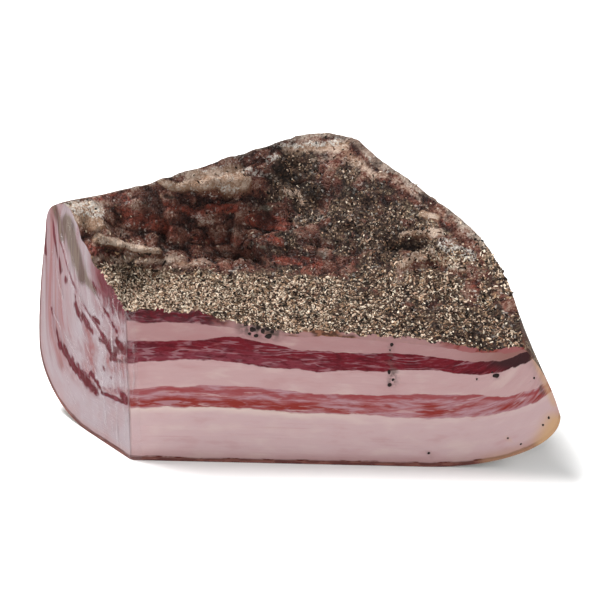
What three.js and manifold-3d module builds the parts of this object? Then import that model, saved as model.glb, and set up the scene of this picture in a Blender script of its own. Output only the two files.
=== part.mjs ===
// A block of flat pancetta: cured belly with a rind below, bands of fat and lean, and a
// peppered crust on top. Two sides are straight cuts that meet at an upright corner, and the
// third is the belly's own edge, which curls up at the back. Millimetres, +Z up, +X along the
// front cut. Inside this file the corner's foot is the origin; the finished block is then
// moved so that its origin is the centre of its underside.
import * as THREE from 'three';
import { mergeVertices } from 'three/addons/utils/BufferGeometryUtils.js';
import Module from 'manifold-3d';

// Driving dimensions
const LEFT_CUT_BEARING = 133;     // degrees from the front cut round to the left cut
const LAYER_GAP = 0.34;           // clear space between neighbouring layers
const WAVE_HEIGHT = 0.55;         // unevenness of the crust between its folds
const CORNER_FADE = 0.06;         // share of the reach over which relief starts at the corner
const RIM_FADE = 0.15;            // share of the reach over which it weakens at the rim
const RIM_RELIEF = 0.2;           // what is left of it at the rim itself
const INSIDE_TURN = 7;            // degrees from a cut to where the inside is reached
const INSIDE_START = 0.2;         // share of the reach at which it starts, and of the end
const INSIDE_END = 0.09;
const COARSE_TURNS = 16;          // steps round the belly between the two cuts
const TURN_CROWDING = 1.35;       // above 1, the steps lie closer together near the front cut
const COARSE_STEPS = 12;          // steps from the corner out to the natural edge
const CRUST_TURNS = 64;           // the crust's finer steps, whole multiples of the coarse ones
const CRUST_STEPS = 36;
const GRAIN_COUNT = 100;          // larger pieces of pepper fused to the crust
const GRAIN_RADIUS = { smallest: 0.75, largest: 1.3 };
const GRAIN_CLEARANCE = 4.2;      // least distance between two grains
const GRAIN_EDGE_CLEARANCE = 2.4; // least distance from a grain to a cut
const GRAIN_OUTERMOST = 0.95;     // share of the way to the rim
const SHELF_DEPTH = 34;           // the front shelf of the crust, where the pepper is thickest
const GRAINS_BEHIND_SHELF = 0.45; // share of the places behind it that are kept
const GRAIN_SEED = 20411;
const BORDER_SINK = 0.24;         // share by which the borders lie lower inside than at the cuts
const BORDER_WAVE = 0.008;        // share by which they wave between the cuts

// The block's section at bearings round the corner. rim is the crust's outer end, reach the
// widest point of the rind, belly that point's height, flat how far the underside lies flat,
// lipIn and lipHeight where the rind ends above it, and bulge the roundness of the edge.
const STATIONS = [
  {
    bearing: 0, rim: 128.5, rimHeight: 46.2,
    reach: 141.8, belly: 20, flat: 98, lipIn: 0, lipHeight: 20.5, bulge: 1.8,
  },
  {
    bearing: 7, rim: 127.0, rimHeight: 54.5,
    reach: 132, belly: 22, flat: 90, lipIn: 1, lipHeight: 32, bulge: 1.2,
  },
  {
    bearing: 16, rim: 121.0, rimHeight: 66.5,
    reach: 126, belly: 26, flat: 82, lipIn: 2, lipHeight: 47, bulge: 1.5,
  },
  {
    bearing: 28, rim: 110.5, rimHeight: 75,
    reach: 118, belly: 30, flat: 76, lipIn: 3, lipHeight: 57, bulge: 2.5,
  },
  {
    bearing: 39, rim: 104.0, rimHeight: 81.5,
    reach: 113, belly: 32, flat: 70, lipIn: 4.5, lipHeight: 64, bulge: 3,
  },
  {
    bearing: 48, rim: 102.0, rimHeight: 85.5,
    reach: 113, belly: 34, flat: 66, lipIn: 5, lipHeight: 68, bulge: 3.5,
  },
  {
    bearing: 53, rim: 95.0, rimHeight: 86,
    reach: 108, belly: 34, flat: 60, lipIn: 5, lipHeight: 69, bulge: 3.5,
  },
  {
    bearing: 61, rim: 72.5, rimHeight: 84,
    reach: 88, belly: 34, flat: 48, lipIn: 5, lipHeight: 68, bulge: 3.5,
  },
  {
    bearing: 76, rim: 49.0, rimHeight: 82.5,
    reach: 66, belly: 33, flat: 36, lipIn: 5, lipHeight: 66.5, bulge: 3.5,
  },
  {
    bearing: 100, rim: 37.0, rimHeight: 81.5,
    reach: 55, belly: 28, flat: 28, lipIn: 6, lipHeight: 66, bulge: 3.5,
  },
  {
    bearing: 133, rim: 32.0, rimHeight: 83,
    reach: 50.6, belly: 23, flat: 24, lipIn: 7, lipHeight: 67, bulge: 4,
  },
];
const ARC_STRETCH = 1.15;         // length of the rind's quarter turn over its chord

// Height of the crust from the corner out to the rim: along the front cut, toward the back
// corner and along the left cut. The last value of each is the rim where that line ends.
const REACH_MARKS = [0, 0.13, 0.25, 0.36, 0.5, 0.65, 0.77, 0.89, 1];
const FRONT_CRUST = [56.5, 56.4, 54.2, 50.6, 50.6, 49.4, 47.8, 45.2, 46.2];
const BACK_CRUST = [56.5, 55.5, 54, 53, 54, 58, 65.5, 76, 86];
const LEFT_CRUST = [56.5, 60.5, 63.5, 65, 66.5, 71.5, 76.5, 80.5, 83];
const FRONT_CRUST_TURN = 45;      // bearing at which the front cut's line has faded out
const LEFT_CRUST_START = 75;      // bearing at which the left cut's line fades in

// Borders between the layers, as shares of the way from the rind up to the crust.
const BORDER_MARKS = [0, 0.13, 0.3, 0.5, 0.7, 0.87, 1];
const BORDERS = [
  {
    front: [0.36, 0.372, 0.392, 0.39, 0.375, 0.355, 0.345],
    left: [0.36, 0.31, 0.265, 0.24, 0.215, 0.165, 0.09],
  },
  {
    front: [0.48, 0.508, 0.55, 0.53, 0.555, 0.5, 0.46],
    left: [0.48, 0.385, 0.33, 0.3, 0.275, 0.225, 0.15],
  },
  {
    front: [0.649, 0.69, 0.715, 0.705, 0.745, 0.73, 0.8],
    left: [0.649, 0.57, 0.655, 0.675, 0.635, 0.625, 0.73],
  },
  {
    front: [0.797, 0.81, 0.895, 0.845, 0.86, 0.855, 0.915],
    left: [0.797, 0.7, 0.715, 0.73, 0.69, 0.68, 0.79],
  },
  {
    front: [0.937, 0.928, 0.958, 0.956, 0.956, 0.952, 0.955],
    left: [0.937, 0.89, 0.89, 0.92, 0.93, 0.93, 0.92],
  },
];

// Folds and hollows of the crust, seen from above: a line from (ax, ay) to (bx, by), the
// distance at which it has died away, and how high it stands (below zero for a hollow).
const FOLDS = [
  { ax: -10, ay: 23, bx: 7, by: 33, spread: 5, height: 3 },
  { ax: 7, ay: 33, bx: 38, by: 37, spread: 5.5, height: 1.6 },
  { ax: -6, ay: 28, bx: 8, by: 38, spread: 4.5, height: -2.6 },
  { ax: 16, ay: 45, bx: 36, by: 44, spread: 8, height: -4 },
  { ax: 36, ay: 44, bx: 62, by: 42, spread: 7, height: -3 },
  { ax: 24, ay: 50, bx: 27, by: 51, spread: 9, height: -2.5 },
  { ax: 52, ay: 64, bx: 60, by: 60, spread: 10, height: -6.5 },
  { ax: 18, ay: 49, bx: 38, by: 60, spread: 6, height: 3.2 },
  { ax: 52, ay: 47, bx: 54, by: 46, spread: 7, height: 3.2 },
  { ax: 38, ay: 50, bx: 42, by: 47, spread: 5, height: 2.2 },
  { ax: 90, ay: 45, bx: 104, by: 44, spread: 4.5, height: 3.2 },
  { ax: 86, ay: 40, bx: 95, by: 38, spread: 4, height: -3.2 },
  { ax: 88, ay: 32, bx: 101, by: 36, spread: 4.5, height: 3 },
  { ax: 101, ay: 36, bx: 112, by: 28, spread: 4.5, height: 2.6 },
  { ax: 103, ay: 40, bx: 105, by: 39, spread: 6, height: 3 },
  { ax: -14, ay: 23, bx: -8, by: 22, spread: 4, height: -2.6 },
  { ax: 8, ay: 46, bx: 14, by: 40, spread: 5, height: 2.2 },
  { ax: 48, ay: 58, bx: 36, by: 52, spread: 6, height: -2.6 },
  { ax: 70, ay: 55, bx: 84, by: 52, spread: 7, height: -2.4 },
  { ax: 66, ay: 48, bx: 80, by: 42, spread: 6, height: 1.8 },
  { ax: 114, ay: 27, bx: 118, by: 18, spread: 6, height: -1.8 },
];

const COLOURS = {
  rind_fat: 0xcdb3ae,
  lean_lower: 0x9c4a48,
  fat_middle: 0xd2b8b6,
  lean_upper: 0x6b2630,
  fat_upper: 0xd0b4b0,
  peppered_top: 0x84705c,
};

function ease(value) {
  const x = THREE.MathUtils.clamp(value, 0, 1);
  return x * x * (3 - 2 * x);
}

// A smooth curve through the values at the given marks, read at x.
function curveThrough(marks, values, x) {
  const last = marks.length - 1;
  const at = THREE.MathUtils.clamp(x, marks[0], marks[last]);
  const rise = (i) => (values[i + 1] - values[i]) / (marks[i + 1] - marks[i]);
  const slope = (i) => {
    if (i === 0) return rise(0);
    if (i === last) return rise(last - 1);
    const before = marks[i] - marks[i - 1];
    const after = marks[i + 1] - marks[i];
    return (rise(i - 1) * after + rise(i) * before) / (before + after);
  };
  let i = 0;
  while (i < last - 1 && at >= marks[i + 1]) i += 1;
  const gap = marks[i + 1] - marks[i];
  const k = (at - marks[i]) / gap;
  const start = (2 * k ** 3 - 3 * k ** 2 + 1) * values[i] + (k ** 3 - 2 * k ** 2 + k) * gap * slope(i);
  const end = (3 * k ** 2 - 2 * k ** 3) * values[i + 1] + (k ** 3 - k ** 2) * gap * slope(i + 1);
  return start + end;
}

const BEARINGS = STATIONS.map((station) => station.bearing);
const SECTION_SIZES = Object.keys(STATIONS[0]).filter((size) => size !== 'bearing');

// The section's sizes at one bearing.
function sectionAt(bearing) {
  const section = {};
  for (const size of SECTION_SIZES) {
    section[size] = curveThrough(BEARINGS, STATIONS.map((station) => station[size]), bearing);
  }
  return section;
}

// The rind's section: flat, then a quarter turn out to the reach, then a side that leans in.
function rindAt(section, share) {
  const arc = ARC_STRETCH * Math.hypot(section.reach - section.flat, section.belly);
  const side = section.lipHeight - section.belly;
  const along = share * (section.flat + arc + side);
  const turn = THREE.MathUtils.clamp((along - section.flat) / arc, 0, 1) * Math.PI / 2;
  const climb = THREE.MathUtils.clamp((along - section.flat - arc) / side, 0, 1);
  const flat = Math.min(along, section.flat);
  const out = flat + (section.reach - section.flat) * Math.sin(turn) - section.lipIn * climb ** 1.6;
  return { out, up: section.belly * (1 - Math.cos(turn)) + side * climb };
}

// One line of the crust, bent so that it ends at the rim's height.
function crustLine(heights, rimHeight, share, power) {
  return curveThrough(REACH_MARKS, heights, share) + (rimHeight - heights.at(-1)) * share ** power;
}

// The crust's section before its folds.
function crustAt(section, bearing, share) {
  const front = crustLine(FRONT_CRUST, section.rimHeight, share, 4);
  const back = crustLine(BACK_CRUST, section.rimHeight, share, 3);
  const left = crustLine(LEFT_CRUST, section.rimHeight, share, 3);
  const frontShare = ease(1 - bearing / FRONT_CRUST_TURN);
  const leftShare = ease((bearing - LEFT_CRUST_START) / (LEFT_CUT_BEARING - LEFT_CRUST_START));
  const up = back * (1 - frontShare) * (1 - leftShare) + front * frontShare + left * leftShare;
  return { out: section.rim * share, up };
}

function distanceToLine(x, y, fold) {
  const dx = fold.bx - fold.ax;
  const dy = fold.by - fold.ay;
  const along = ((x - fold.ax) * dx + (y - fold.ay) * dy) / (dx * dx + dy * dy);
  const nearest = THREE.MathUtils.clamp(along, 0, 1);
  return Math.hypot(x - fold.ax - nearest * dx, y - fold.ay - nearest * dy);
}

// How far inside a point lies: 0 on the cuts, at the corner and at the rim, 1 between them.
function insideShare(bearing, share) {
  const fromCuts = Math.min(bearing, LEFT_CUT_BEARING - bearing) / INSIDE_TURN;
  return ease(fromCuts) * ease(share / INSIDE_START) * ease((1 - share) / INSIDE_END);
}

// Height of the folds and of the finer waves over a point seen from above.
function reliefAt(x, y) {
  let height = 0;
  for (const fold of FOLDS) {
    const near = Math.min(distanceToLine(x, y, fold) / fold.spread, 1);
    height += fold.height * (0.5 + 0.5 * Math.cos(Math.PI * near));
  }
  const bent = y * 0.36 + 0.8 * Math.sin(x * 0.19);
  const broad = Math.sin(x * 0.31 + 1.7 * Math.sin(y * 0.23)) * Math.cos(bent);
  const fine = Math.sin(x * 0.83 + y * 0.41 + 1.1) * Math.sin(y * 0.77 - x * 0.27 + 0.6);
  return height + WAVE_HEIGHT * (broad + fine);
}

// A point of the block: bearing in degrees, share of the way out and share of the way up.
// Borders between layers are taken without the crust's relief.
function pointAt(bearing, share, level, hasRelief) {
  const section = sectionAt(bearing);
  const rind = rindAt(section, share);
  const crust = crustAt(section, bearing, share);
  const step = 0.01;
  const inner = crustAt(section, bearing, Math.max(share - step, 0));
  const outer = crustAt(section, bearing, Math.min(share + step, 1));
  const slope = (outer.up - inner.up) / Math.max(outer.out - inner.out, 1e-6);
  const angle = THREE.MathUtils.degToRad(bearing);
  const [x, y] = [crust.out * Math.cos(angle), crust.out * Math.sin(angle)];
  const relief = hasRelief ? reliefAt(x, y) : 0;
  const rimFade = THREE.MathUtils.lerp(RIM_RELIEF, 1, ease((1 - share) / RIM_FADE));
  const lift = relief * ease(share / CORNER_FADE) * rimFade / Math.hypot(slope, 1);
  const crustOut = crust.out - lift * slope * Math.sin(Math.PI * share);
  const crustUp = crust.up + lift;
  const edge = section.bulge * Math.sin(Math.PI * level) * share ** 6;
  const out = rind.out + (crustOut - rind.out) * level + edge * 0.75;
  const up = rind.up + (crustUp - rind.up) * level + edge * 0.66;
  return new THREE.Vector3(out * Math.cos(angle), out * Math.sin(angle), up);
}

// Level of one border between layers. Border 0 is the lowest.
function borderLevel(index, bearing, share) {
  const turn = ease(bearing / LEFT_CUT_BEARING);
  const front = curveThrough(BORDER_MARKS, BORDERS[index].front, share);
  const left = curveThrough(BORDER_MARKS, BORDERS[index].left, share);
  const middle = Math.sin(Math.PI * share) * Math.sin(Math.PI * turn);
  const wave = BORDER_WAVE * Math.sin(bearing * 0.11 + index) * middle;
  const level = front + (left - front) * turn + wave;
  return level * (1 - BORDER_SINK * level * insideShare(bearing, share));
}

function bearingAt(turnShare) {
  return LEFT_CUT_BEARING * turnShare ** TURN_CROWDING;
}

// A grid of points over one sheet. Row 0 is the corner, where every bearing meets.
function sheet(turns, steps, levelAt, hasRelief = false) {
  const rows = [];
  for (let step = 0; step <= steps; step += 1) {
    const row = [];
    for (let turn = 0; turn <= turns; turn += 1) {
      const bearing = bearingAt(turn / turns);
      row.push(pointAt(bearing, step / steps, levelAt(bearing, step / steps), hasRelief));
    }
    rows.push(row);
  }
  return rows;
}

// The sheet on one side of a border, half the gap away from it.
function borderSheet(index, side) {
  return sheet(COARSE_TURNS, COARSE_STEPS, (bearing, share) => {
    const level = borderLevel(index, bearing, share);
    const depth = pointAt(bearing, share, 0, false).distanceTo(pointAt(bearing, share, 1, false));
    return level + side * LAYER_GAP / 2 / depth;
  });
}

// Collects triangles, as corner points in the order that faces outward.
class Skin {
  constructor() {
    this.positions = [];
  }

  triangle(a, b, c) {
    for (const corner of [a, b, c]) this.positions.push(corner.x, corner.y, corner.z);
  }

  // Closes the strip between two rows of points that start and end at the same places, where
  // the upper row has a whole multiple of the lower row's steps.
  strip(lower, upper) {
    const ratio = (upper.length - 1) / (lower.length - 1);
    for (let i = 0; i < lower.length - 1; i += 1) {
      const middle = Math.ceil(ratio / 2);
      for (let k = 0; k < ratio; k += 1) {
        const foot = k < middle ? lower[i] : lower[i + 1];
        this.triangle(foot, upper[i * ratio + k + 1], upper[i * ratio + k]);
      }
      this.triangle(lower[i], lower[i + 1], upper[i * ratio + middle]);
    }
  }

  // Covers a sheet with triangles, seen from above or, turned over, from below.
  sheet(rows, facesUp) {
    for (let step = 0; step < rows.length - 1; step += 1) {
      for (let turn = 0; turn < rows[0].length - 1; turn += 1) {
        const [a, b] = [rows[step][turn], rows[step][turn + 1]];
        const [c, d] = [rows[step + 1][turn], rows[step + 1][turn + 1]];
        const faces = step === 0 ? [[a, c, d]] : [[a, c, d], [a, d, b]];
        for (const [p, q, r] of faces) {
          if (facesUp) this.triangle(p, q, r);
          else this.triangle(p, r, q);
        }
      }
    }
  }

  geometry() {
    const loose = new THREE.BufferGeometry();
    loose.setAttribute('position', new THREE.Float32BufferAttribute(this.positions, 3));
    return mergeVertices(loose, 1e-4);
  }
}

// One closed layer between a lower and an upper sheet.
function layerGeometry(lower, upper) {
  const skin = new Skin();
  skin.sheet(upper, true);
  skin.sheet(lower, false);
  const frontCut = (rows) => rows.map((row) => row[0]);
  const leftCut = (rows) => rows.map((row) => row.at(-1)).reverse();
  skin.strip(frontCut(lower), frontCut(upper));
  skin.strip(lower.at(-1), upper.at(-1));
  skin.strip(leftCut(lower), leftCut(upper));
  return skin.geometry();
}

// Gives the same numbers in every run.
function seededDraw(seed) {
  let state = seed;
  return () => {
    state = (state * 1664525 + 1013904223) % 4294967296;
    return state / 4294967296;
  };
}

// Where a point seen from above lies on the crust's own triangles.
function onCrust(rows, bearing, share) {
  const turn = (bearing / LEFT_CUT_BEARING) ** (1 / TURN_CROWDING) * CRUST_TURNS;
  const step = share * CRUST_STEPS;
  const [i, j] = [Math.floor(turn), Math.floor(step)];
  const [u, v] = [turn - i, step - j];
  const [a, b] = [rows[j][i], rows[j][i + 1]];
  const [c, d] = [rows[j + 1][i], rows[j + 1][i + 1]];
  const point = a.clone();
  if (v >= u) return point.addScaledVector(c.clone().sub(a), v).addScaledVector(d.clone().sub(c), u);
  return point.addScaledVector(b.clone().sub(a), u).addScaledVector(d.clone().sub(b), v);
}

// Peppercorn pieces: squashed, turned lumps, the largest first, thickest on the front shelf.
function pepperGrains(crustRows) {
  const draw = seededDraw(GRAIN_SEED);
  const grains = [];
  const places = [];
  const left = THREE.MathUtils.degToRad(LEFT_CUT_BEARING);
  while (grains.length < GRAIN_COUNT) {
    const x = THREE.MathUtils.lerp(-25, 130, draw());
    const y = 80 * draw();
    const keep = draw();
    const [tiltX, tiltZ, squash] = [draw() * Math.PI, draw() * Math.PI, 0.6 + 0.3 * draw()];
    const bearing = THREE.MathUtils.radToDeg(Math.atan2(y, x));
    if (bearing >= LEFT_CUT_BEARING) continue;
    const share = Math.hypot(x, y) / sectionAt(bearing).rim;
    if (share > GRAIN_OUTERMOST) continue;
    const place = onCrust(crustRows, bearing, share);
    const fromLeftCut = place.x * Math.sin(left) - place.y * Math.cos(left);
    if (keep > (y < SHELF_DEPTH ? 1 : GRAINS_BEHIND_SHELF)) continue;
    if (Math.min(place.y, fromLeftCut) < GRAIN_EDGE_CLEARANCE) continue;
    if (places.some((other) => other.distanceTo(place) < GRAIN_CLEARANCE)) continue;
    const rank = grains.length / GRAIN_COUNT;
    const radius = THREE.MathUtils.lerp(GRAIN_RADIUS.largest, GRAIN_RADIUS.smallest, rank);
    const grain = new THREE.IcosahedronGeometry(radius, 0);
    grain.scale(1, 1, squash);
    grain.rotateX(tiltX);
    grain.rotateZ(tiltZ);
    grain.translate(place.x, place.y, place.z + radius * 0.15);
    places.push(place);
    grains.push(grain);
  }
  return grains;
}

const wasm = await Module();
wasm.setup();

function solidFrom(geometry) {
  const bare = geometry.clone();
  bare.deleteAttribute('normal');
  bare.deleteAttribute('uv');
  const merged = mergeVertices(bare, 1e-4);
  const vertProperties = new Float32Array(merged.getAttribute('position').array);
  const triVerts = new Uint32Array(merged.getIndex().array);
  return new wasm.Manifold(new wasm.Mesh({ numProp: 3, vertProperties, triVerts }));
}

function geometryFrom(solid) {
  const mesh = solid.getMesh();
  const geometry = new THREE.BufferGeometry();
  geometry.setAttribute('position', new THREE.BufferAttribute(mesh.vertProperties, 3));
  geometry.setIndex(new THREE.BufferAttribute(mesh.triVerts, 1));
  return geometry;
}

function namedMesh(name, geometry, roughness) {
  geometry.computeVertexNormals();
  const material = new THREE.MeshStandardMaterial({ color: COLOURS[name], roughness, metalness: 0 });
  const mesh = new THREE.Mesh(geometry, material);
  mesh.name = name;
  return mesh;
}

// Rind, fat and lean, from the underside up to the crust.
function bands() {
  const names = ['rind_fat', 'lean_lower', 'fat_middle', 'lean_upper', 'fat_upper'];
  return names.map((name, index) => {
    const underside = () => sheet(COARSE_TURNS, COARSE_STEPS, () => 0);
    const lower = index === 0 ? underside() : borderSheet(index - 1, 1);
    return namedMesh(name, layerGeometry(lower, borderSheet(index, -1)), 0.5);
  });
}

// The lean under the pepper, its folds, and the largest grains fused on.
function pepperedTop() {
  const lower = borderSheet(BORDERS.length - 1, 1);
  const upper = sheet(CRUST_TURNS, CRUST_STEPS, () => 1, true);
  let crust = solidFrom(layerGeometry(lower, upper));
  for (const grain of pepperGrains(upper)) {
    crust = crust.add(solidFrom(grain));
  }
  return namedMesh('peppered_top', geometryFrom(crust), 0.75);
}

const pancetta = new THREE.Group();
for (const band of bands()) pancetta.add(band);
pancetta.add(pepperedTop());

// The origin goes to the centre of the underside.
const box = new THREE.Box3().setFromObject(pancetta);
const centre = box.getCenter(new THREE.Vector3());
pancetta.position.set(-centre.x, -centre.y, -box.min.z);

export default pancetta;
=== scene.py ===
"""A block of flat pancetta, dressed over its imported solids.

Shapes are worked out in millimetres from the foot of the upright corner where the two cuts
meet, and moved into the frame, in metres, as they are made.
"""

import itertools
import logging
import math
from dataclasses import dataclass, fields
from enum import Enum

import bmesh
import bpy
import numpy as np
from mathutils import Matrix, Vector


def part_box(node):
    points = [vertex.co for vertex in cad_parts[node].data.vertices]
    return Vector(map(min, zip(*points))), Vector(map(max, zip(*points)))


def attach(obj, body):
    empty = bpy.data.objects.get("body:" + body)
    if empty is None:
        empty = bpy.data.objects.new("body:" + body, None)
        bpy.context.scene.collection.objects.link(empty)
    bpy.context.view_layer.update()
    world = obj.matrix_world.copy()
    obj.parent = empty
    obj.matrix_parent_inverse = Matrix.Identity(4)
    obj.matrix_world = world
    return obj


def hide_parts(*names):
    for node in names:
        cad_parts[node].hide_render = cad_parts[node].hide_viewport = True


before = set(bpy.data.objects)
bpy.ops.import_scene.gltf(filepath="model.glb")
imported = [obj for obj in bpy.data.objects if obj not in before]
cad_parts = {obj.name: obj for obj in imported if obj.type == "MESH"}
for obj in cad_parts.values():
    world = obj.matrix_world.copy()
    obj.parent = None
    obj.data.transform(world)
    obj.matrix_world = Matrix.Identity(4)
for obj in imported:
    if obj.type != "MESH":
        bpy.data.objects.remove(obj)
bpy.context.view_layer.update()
BODY = "root"
MM = 0.001
FRONT_LIGHT = 1.5
HAIR = 1e-5
HASH_FACTORS = (73856093, 19349663, 83492791)
SEED_FACTOR, MIX_FACTOR, WORD = 2654435761, 1274126177, 0xFFFFFFFF
LOG = logging.getLogger("pancetta")

Array = np.ndarray
Colour = tuple[float, float, float, float]
Mesh = bpy.types.Mesh
Material = bpy.types.Material


def shade(red: int, green: int, blue: int, light: float = 1.0) -> Colour:
    """Turns a colour as seen on a screen into the shader's linear one.

    Args:
        red: 0 to 255.
        green: 0 to 255.
        blue: 0 to 255.
        light: How bright the studio light falls where the colour was seen.

    Returns:
        Red, green, blue and 1.
    """
    shares = (value / 255 for value in (red, green, blue))
    linear = (share / 12.92 if share <= 0.04045 else ((share + 0.055) / 1.055) ** 2.4 for share in shares)
    return *(value / light for value in linear), 1.0


def lit(red: int, green: int, blue: int) -> Colour:
    """A colour that shows as this on the front cut."""
    return shade(red, green, blue, FRONT_LIGHT)


def ease(values: Array) -> Array:
    """Smooth step from 0 to 1."""
    share = np.clip(values, 0, 1)
    return share * share * (3 - 2 * share)


def curve_through(marks: tuple[float, ...], values: tuple[float, ...], x: Array) -> Array:
    """Reads a smooth curve through given values.

    Args:
        marks: Where the values stand, rising.
        values: The value at each mark.
        x: Where to read the curve.

    Returns:
        The curve's values at x.
    """
    marks, values = np.asarray(marks, float), np.asarray(values, float)
    gap = np.diff(marks)
    rise = np.diff(values) / gap
    slope = np.empty(len(marks))
    slope[0], slope[-1] = rise[0], rise[-1]
    slope[1:-1] = (rise[:-1] * gap[1:] + rise[1:] * gap[:-1]) / (gap[:-1] + gap[1:])
    x = np.clip(x, marks[0], marks[-1])
    i = np.clip(np.searchsorted(marks, x, side="right") - 1, 0, len(marks) - 2)
    k = (x - marks[i]) / gap[i]
    start = (2 * k**3 - 3 * k**2 + 1) * values[i] + (k**3 - 2 * k**2 + k) * gap[i] * slope[i]
    end = (3 * k**2 - 2 * k**3) * values[i + 1] + (k**3 - k**2) * gap[i] * slope[i + 1]
    return start + end


def hashed(cell: Array, seed: int) -> Array:
    """Draws a number from -1 to 1 that belongs to each cell.

    Args:
        cell: Cells, as whole numbers along three axes.
        seed: Which numbers.

    Returns:
        One number for each cell.
    """
    x, y, z = (cell[..., axis] * factor for axis, factor in enumerate(HASH_FACTORS))
    mixed = x ^ y ^ z ^ (seed * SEED_FACTOR)
    mixed = ((mixed ^ (mixed >> 13)) * MIX_FACTOR) & WORD
    return (mixed ^ (mixed >> 16)) / 2**31 - 1


def smooth_noise(points: Array, seed: int) -> Array:
    """Smooth noise from about -1 to 1 that changes from cell to cell.

    Args:
        points: Places, in cells of the noise.
        seed: Which noise.

    Returns:
        One value for each place.
    """
    cell = np.floor(points).astype(np.int64)
    local = ease(points - cell)
    total = np.zeros(points.shape[:-1])
    for corner in itertools.product((0, 1), repeat=3):
        weight = np.prod(np.where(corner, local, 1 - local), axis=-1)
        total += hashed(cell + np.array(corner), seed) * weight
    return total


def nearest_lump(points: Array, seed: int) -> tuple[Array, Array, Array]:
    """Finds which of many scattered lumps each place belongs to.

    Args:
        points: Places, in lumps.
        seed: Which scatter.

    Returns:
        Height of the lump there, 1 on its middle and about 0 in the crevices, the distance from the
        crevice round it, and the lump's own number from 0 to 1.
    """
    cell = np.floor(points).astype(np.int64)
    nearest, second, own = np.full(len(points), 9.0), np.full(len(points), 9.0), np.zeros(len(points))
    for step in itertools.product((-1, 0, 1), repeat=3):
        key = cell + np.array(step)
        middle = key + 0.5 + 0.45 * np.stack([hashed(key, seed + axis) for axis in range(3)], axis=-1)
        distance = np.linalg.norm(points - middle, axis=-1)
        closer = distance < nearest
        second = np.where(closer, nearest, np.minimum(second, distance))
        nearest = np.where(closer, distance, nearest)
        own = np.where(closer, hashed(key, seed + 3), own)
    height = 0.5 * np.clip(1 - nearest**2 / 0.8, 0, 1) + 0.5 * ease((second - nearest) / 0.4)
    return height, second - nearest, 0.5 + 0.5 * own


def octaves(points: Array, size: float, count: int, seed: int) -> Array:
    """Adds up noises of halving size.

    Args:
        points: Places in millimetres.
        size: Size of the largest lumps in millimetres.
        count: How many noises are added.
        seed: Which noise.

    Returns:
        One value for each place, about -1 to 1.
    """
    total = np.zeros(points.shape[:-1])
    for i in range(count):
        total += smooth_noise(points * 2**i / size, seed + i) / 2**i
    return total / 1.6


def shaken(points: Array, size: float, count: int, seeds: tuple[int, int, int]) -> Array:
    """Three noises side by side, as a shift of each place."""
    return np.stack([octaves(points, size, count, seed) for seed in seeds], axis=1)


@dataclass(frozen=True)
class Mark:
    """A fold, hollow, stain or crease along a line: its ends, its spread, and its height or strength."""

    x0: float
    y0: float
    x1: float
    y1: float
    spread: float
    height: float = 1.0

    def distance(self, x: Array, y: Array) -> Array:
        """Distance of places from the line.

        Args:
            x: Places along the first axis.
            y: Places along the second.

        Returns:
            Distances in millimetres.
        """
        dx, dy = self.x1 - self.x0, self.y1 - self.y0
        px, py = x - self.x0, y - self.y0
        along = np.clip((px * dx + py * dy) / max(dx * dx + dy * dy, 1e-9), 0, 1)
        return np.hypot(px - along * dx, py - along * dy)

    def share(self, x: Array, y: Array) -> Array:
        """1 on the line, 0 beyond its spread."""
        return 0.5 + 0.5 * np.cos(math.pi * np.minimum(self.distance(x, y) / self.spread, 1))


def marks(*rows: tuple[float, ...]) -> tuple[Mark, ...]:
    """Marks from rows of their sizes."""
    return tuple(Mark(*row) for row in rows)


def heaped(several: tuple[Mark, ...], x: Array, y: Array) -> Array:
    """Heights of marks, added up over each place."""
    return sum(mark.height * mark.share(x, y) for mark in several)


def strongest(several: tuple[Mark, ...], x: Array, y: Array) -> Array:
    """Height of the strongest mark over each place."""
    return np.max([mark.height * mark.share(x, y) for mark in several], axis=0)


def covered(several: tuple[Mark, ...], x: Array, y: Array) -> Array:
    """How near each place is to one of several marks, 1 on its line."""
    return np.max([mark.share(x, y) for mark in several], axis=0)


@dataclass(frozen=True)
class Station:
    """The block's section at one bearing, in degrees and millimetres."""

    bearing: float
    rim: float
    rim_height: float
    reach: float
    belly: float
    flat: float
    lip_in: float
    lip_height: float
    bulge: float


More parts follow.
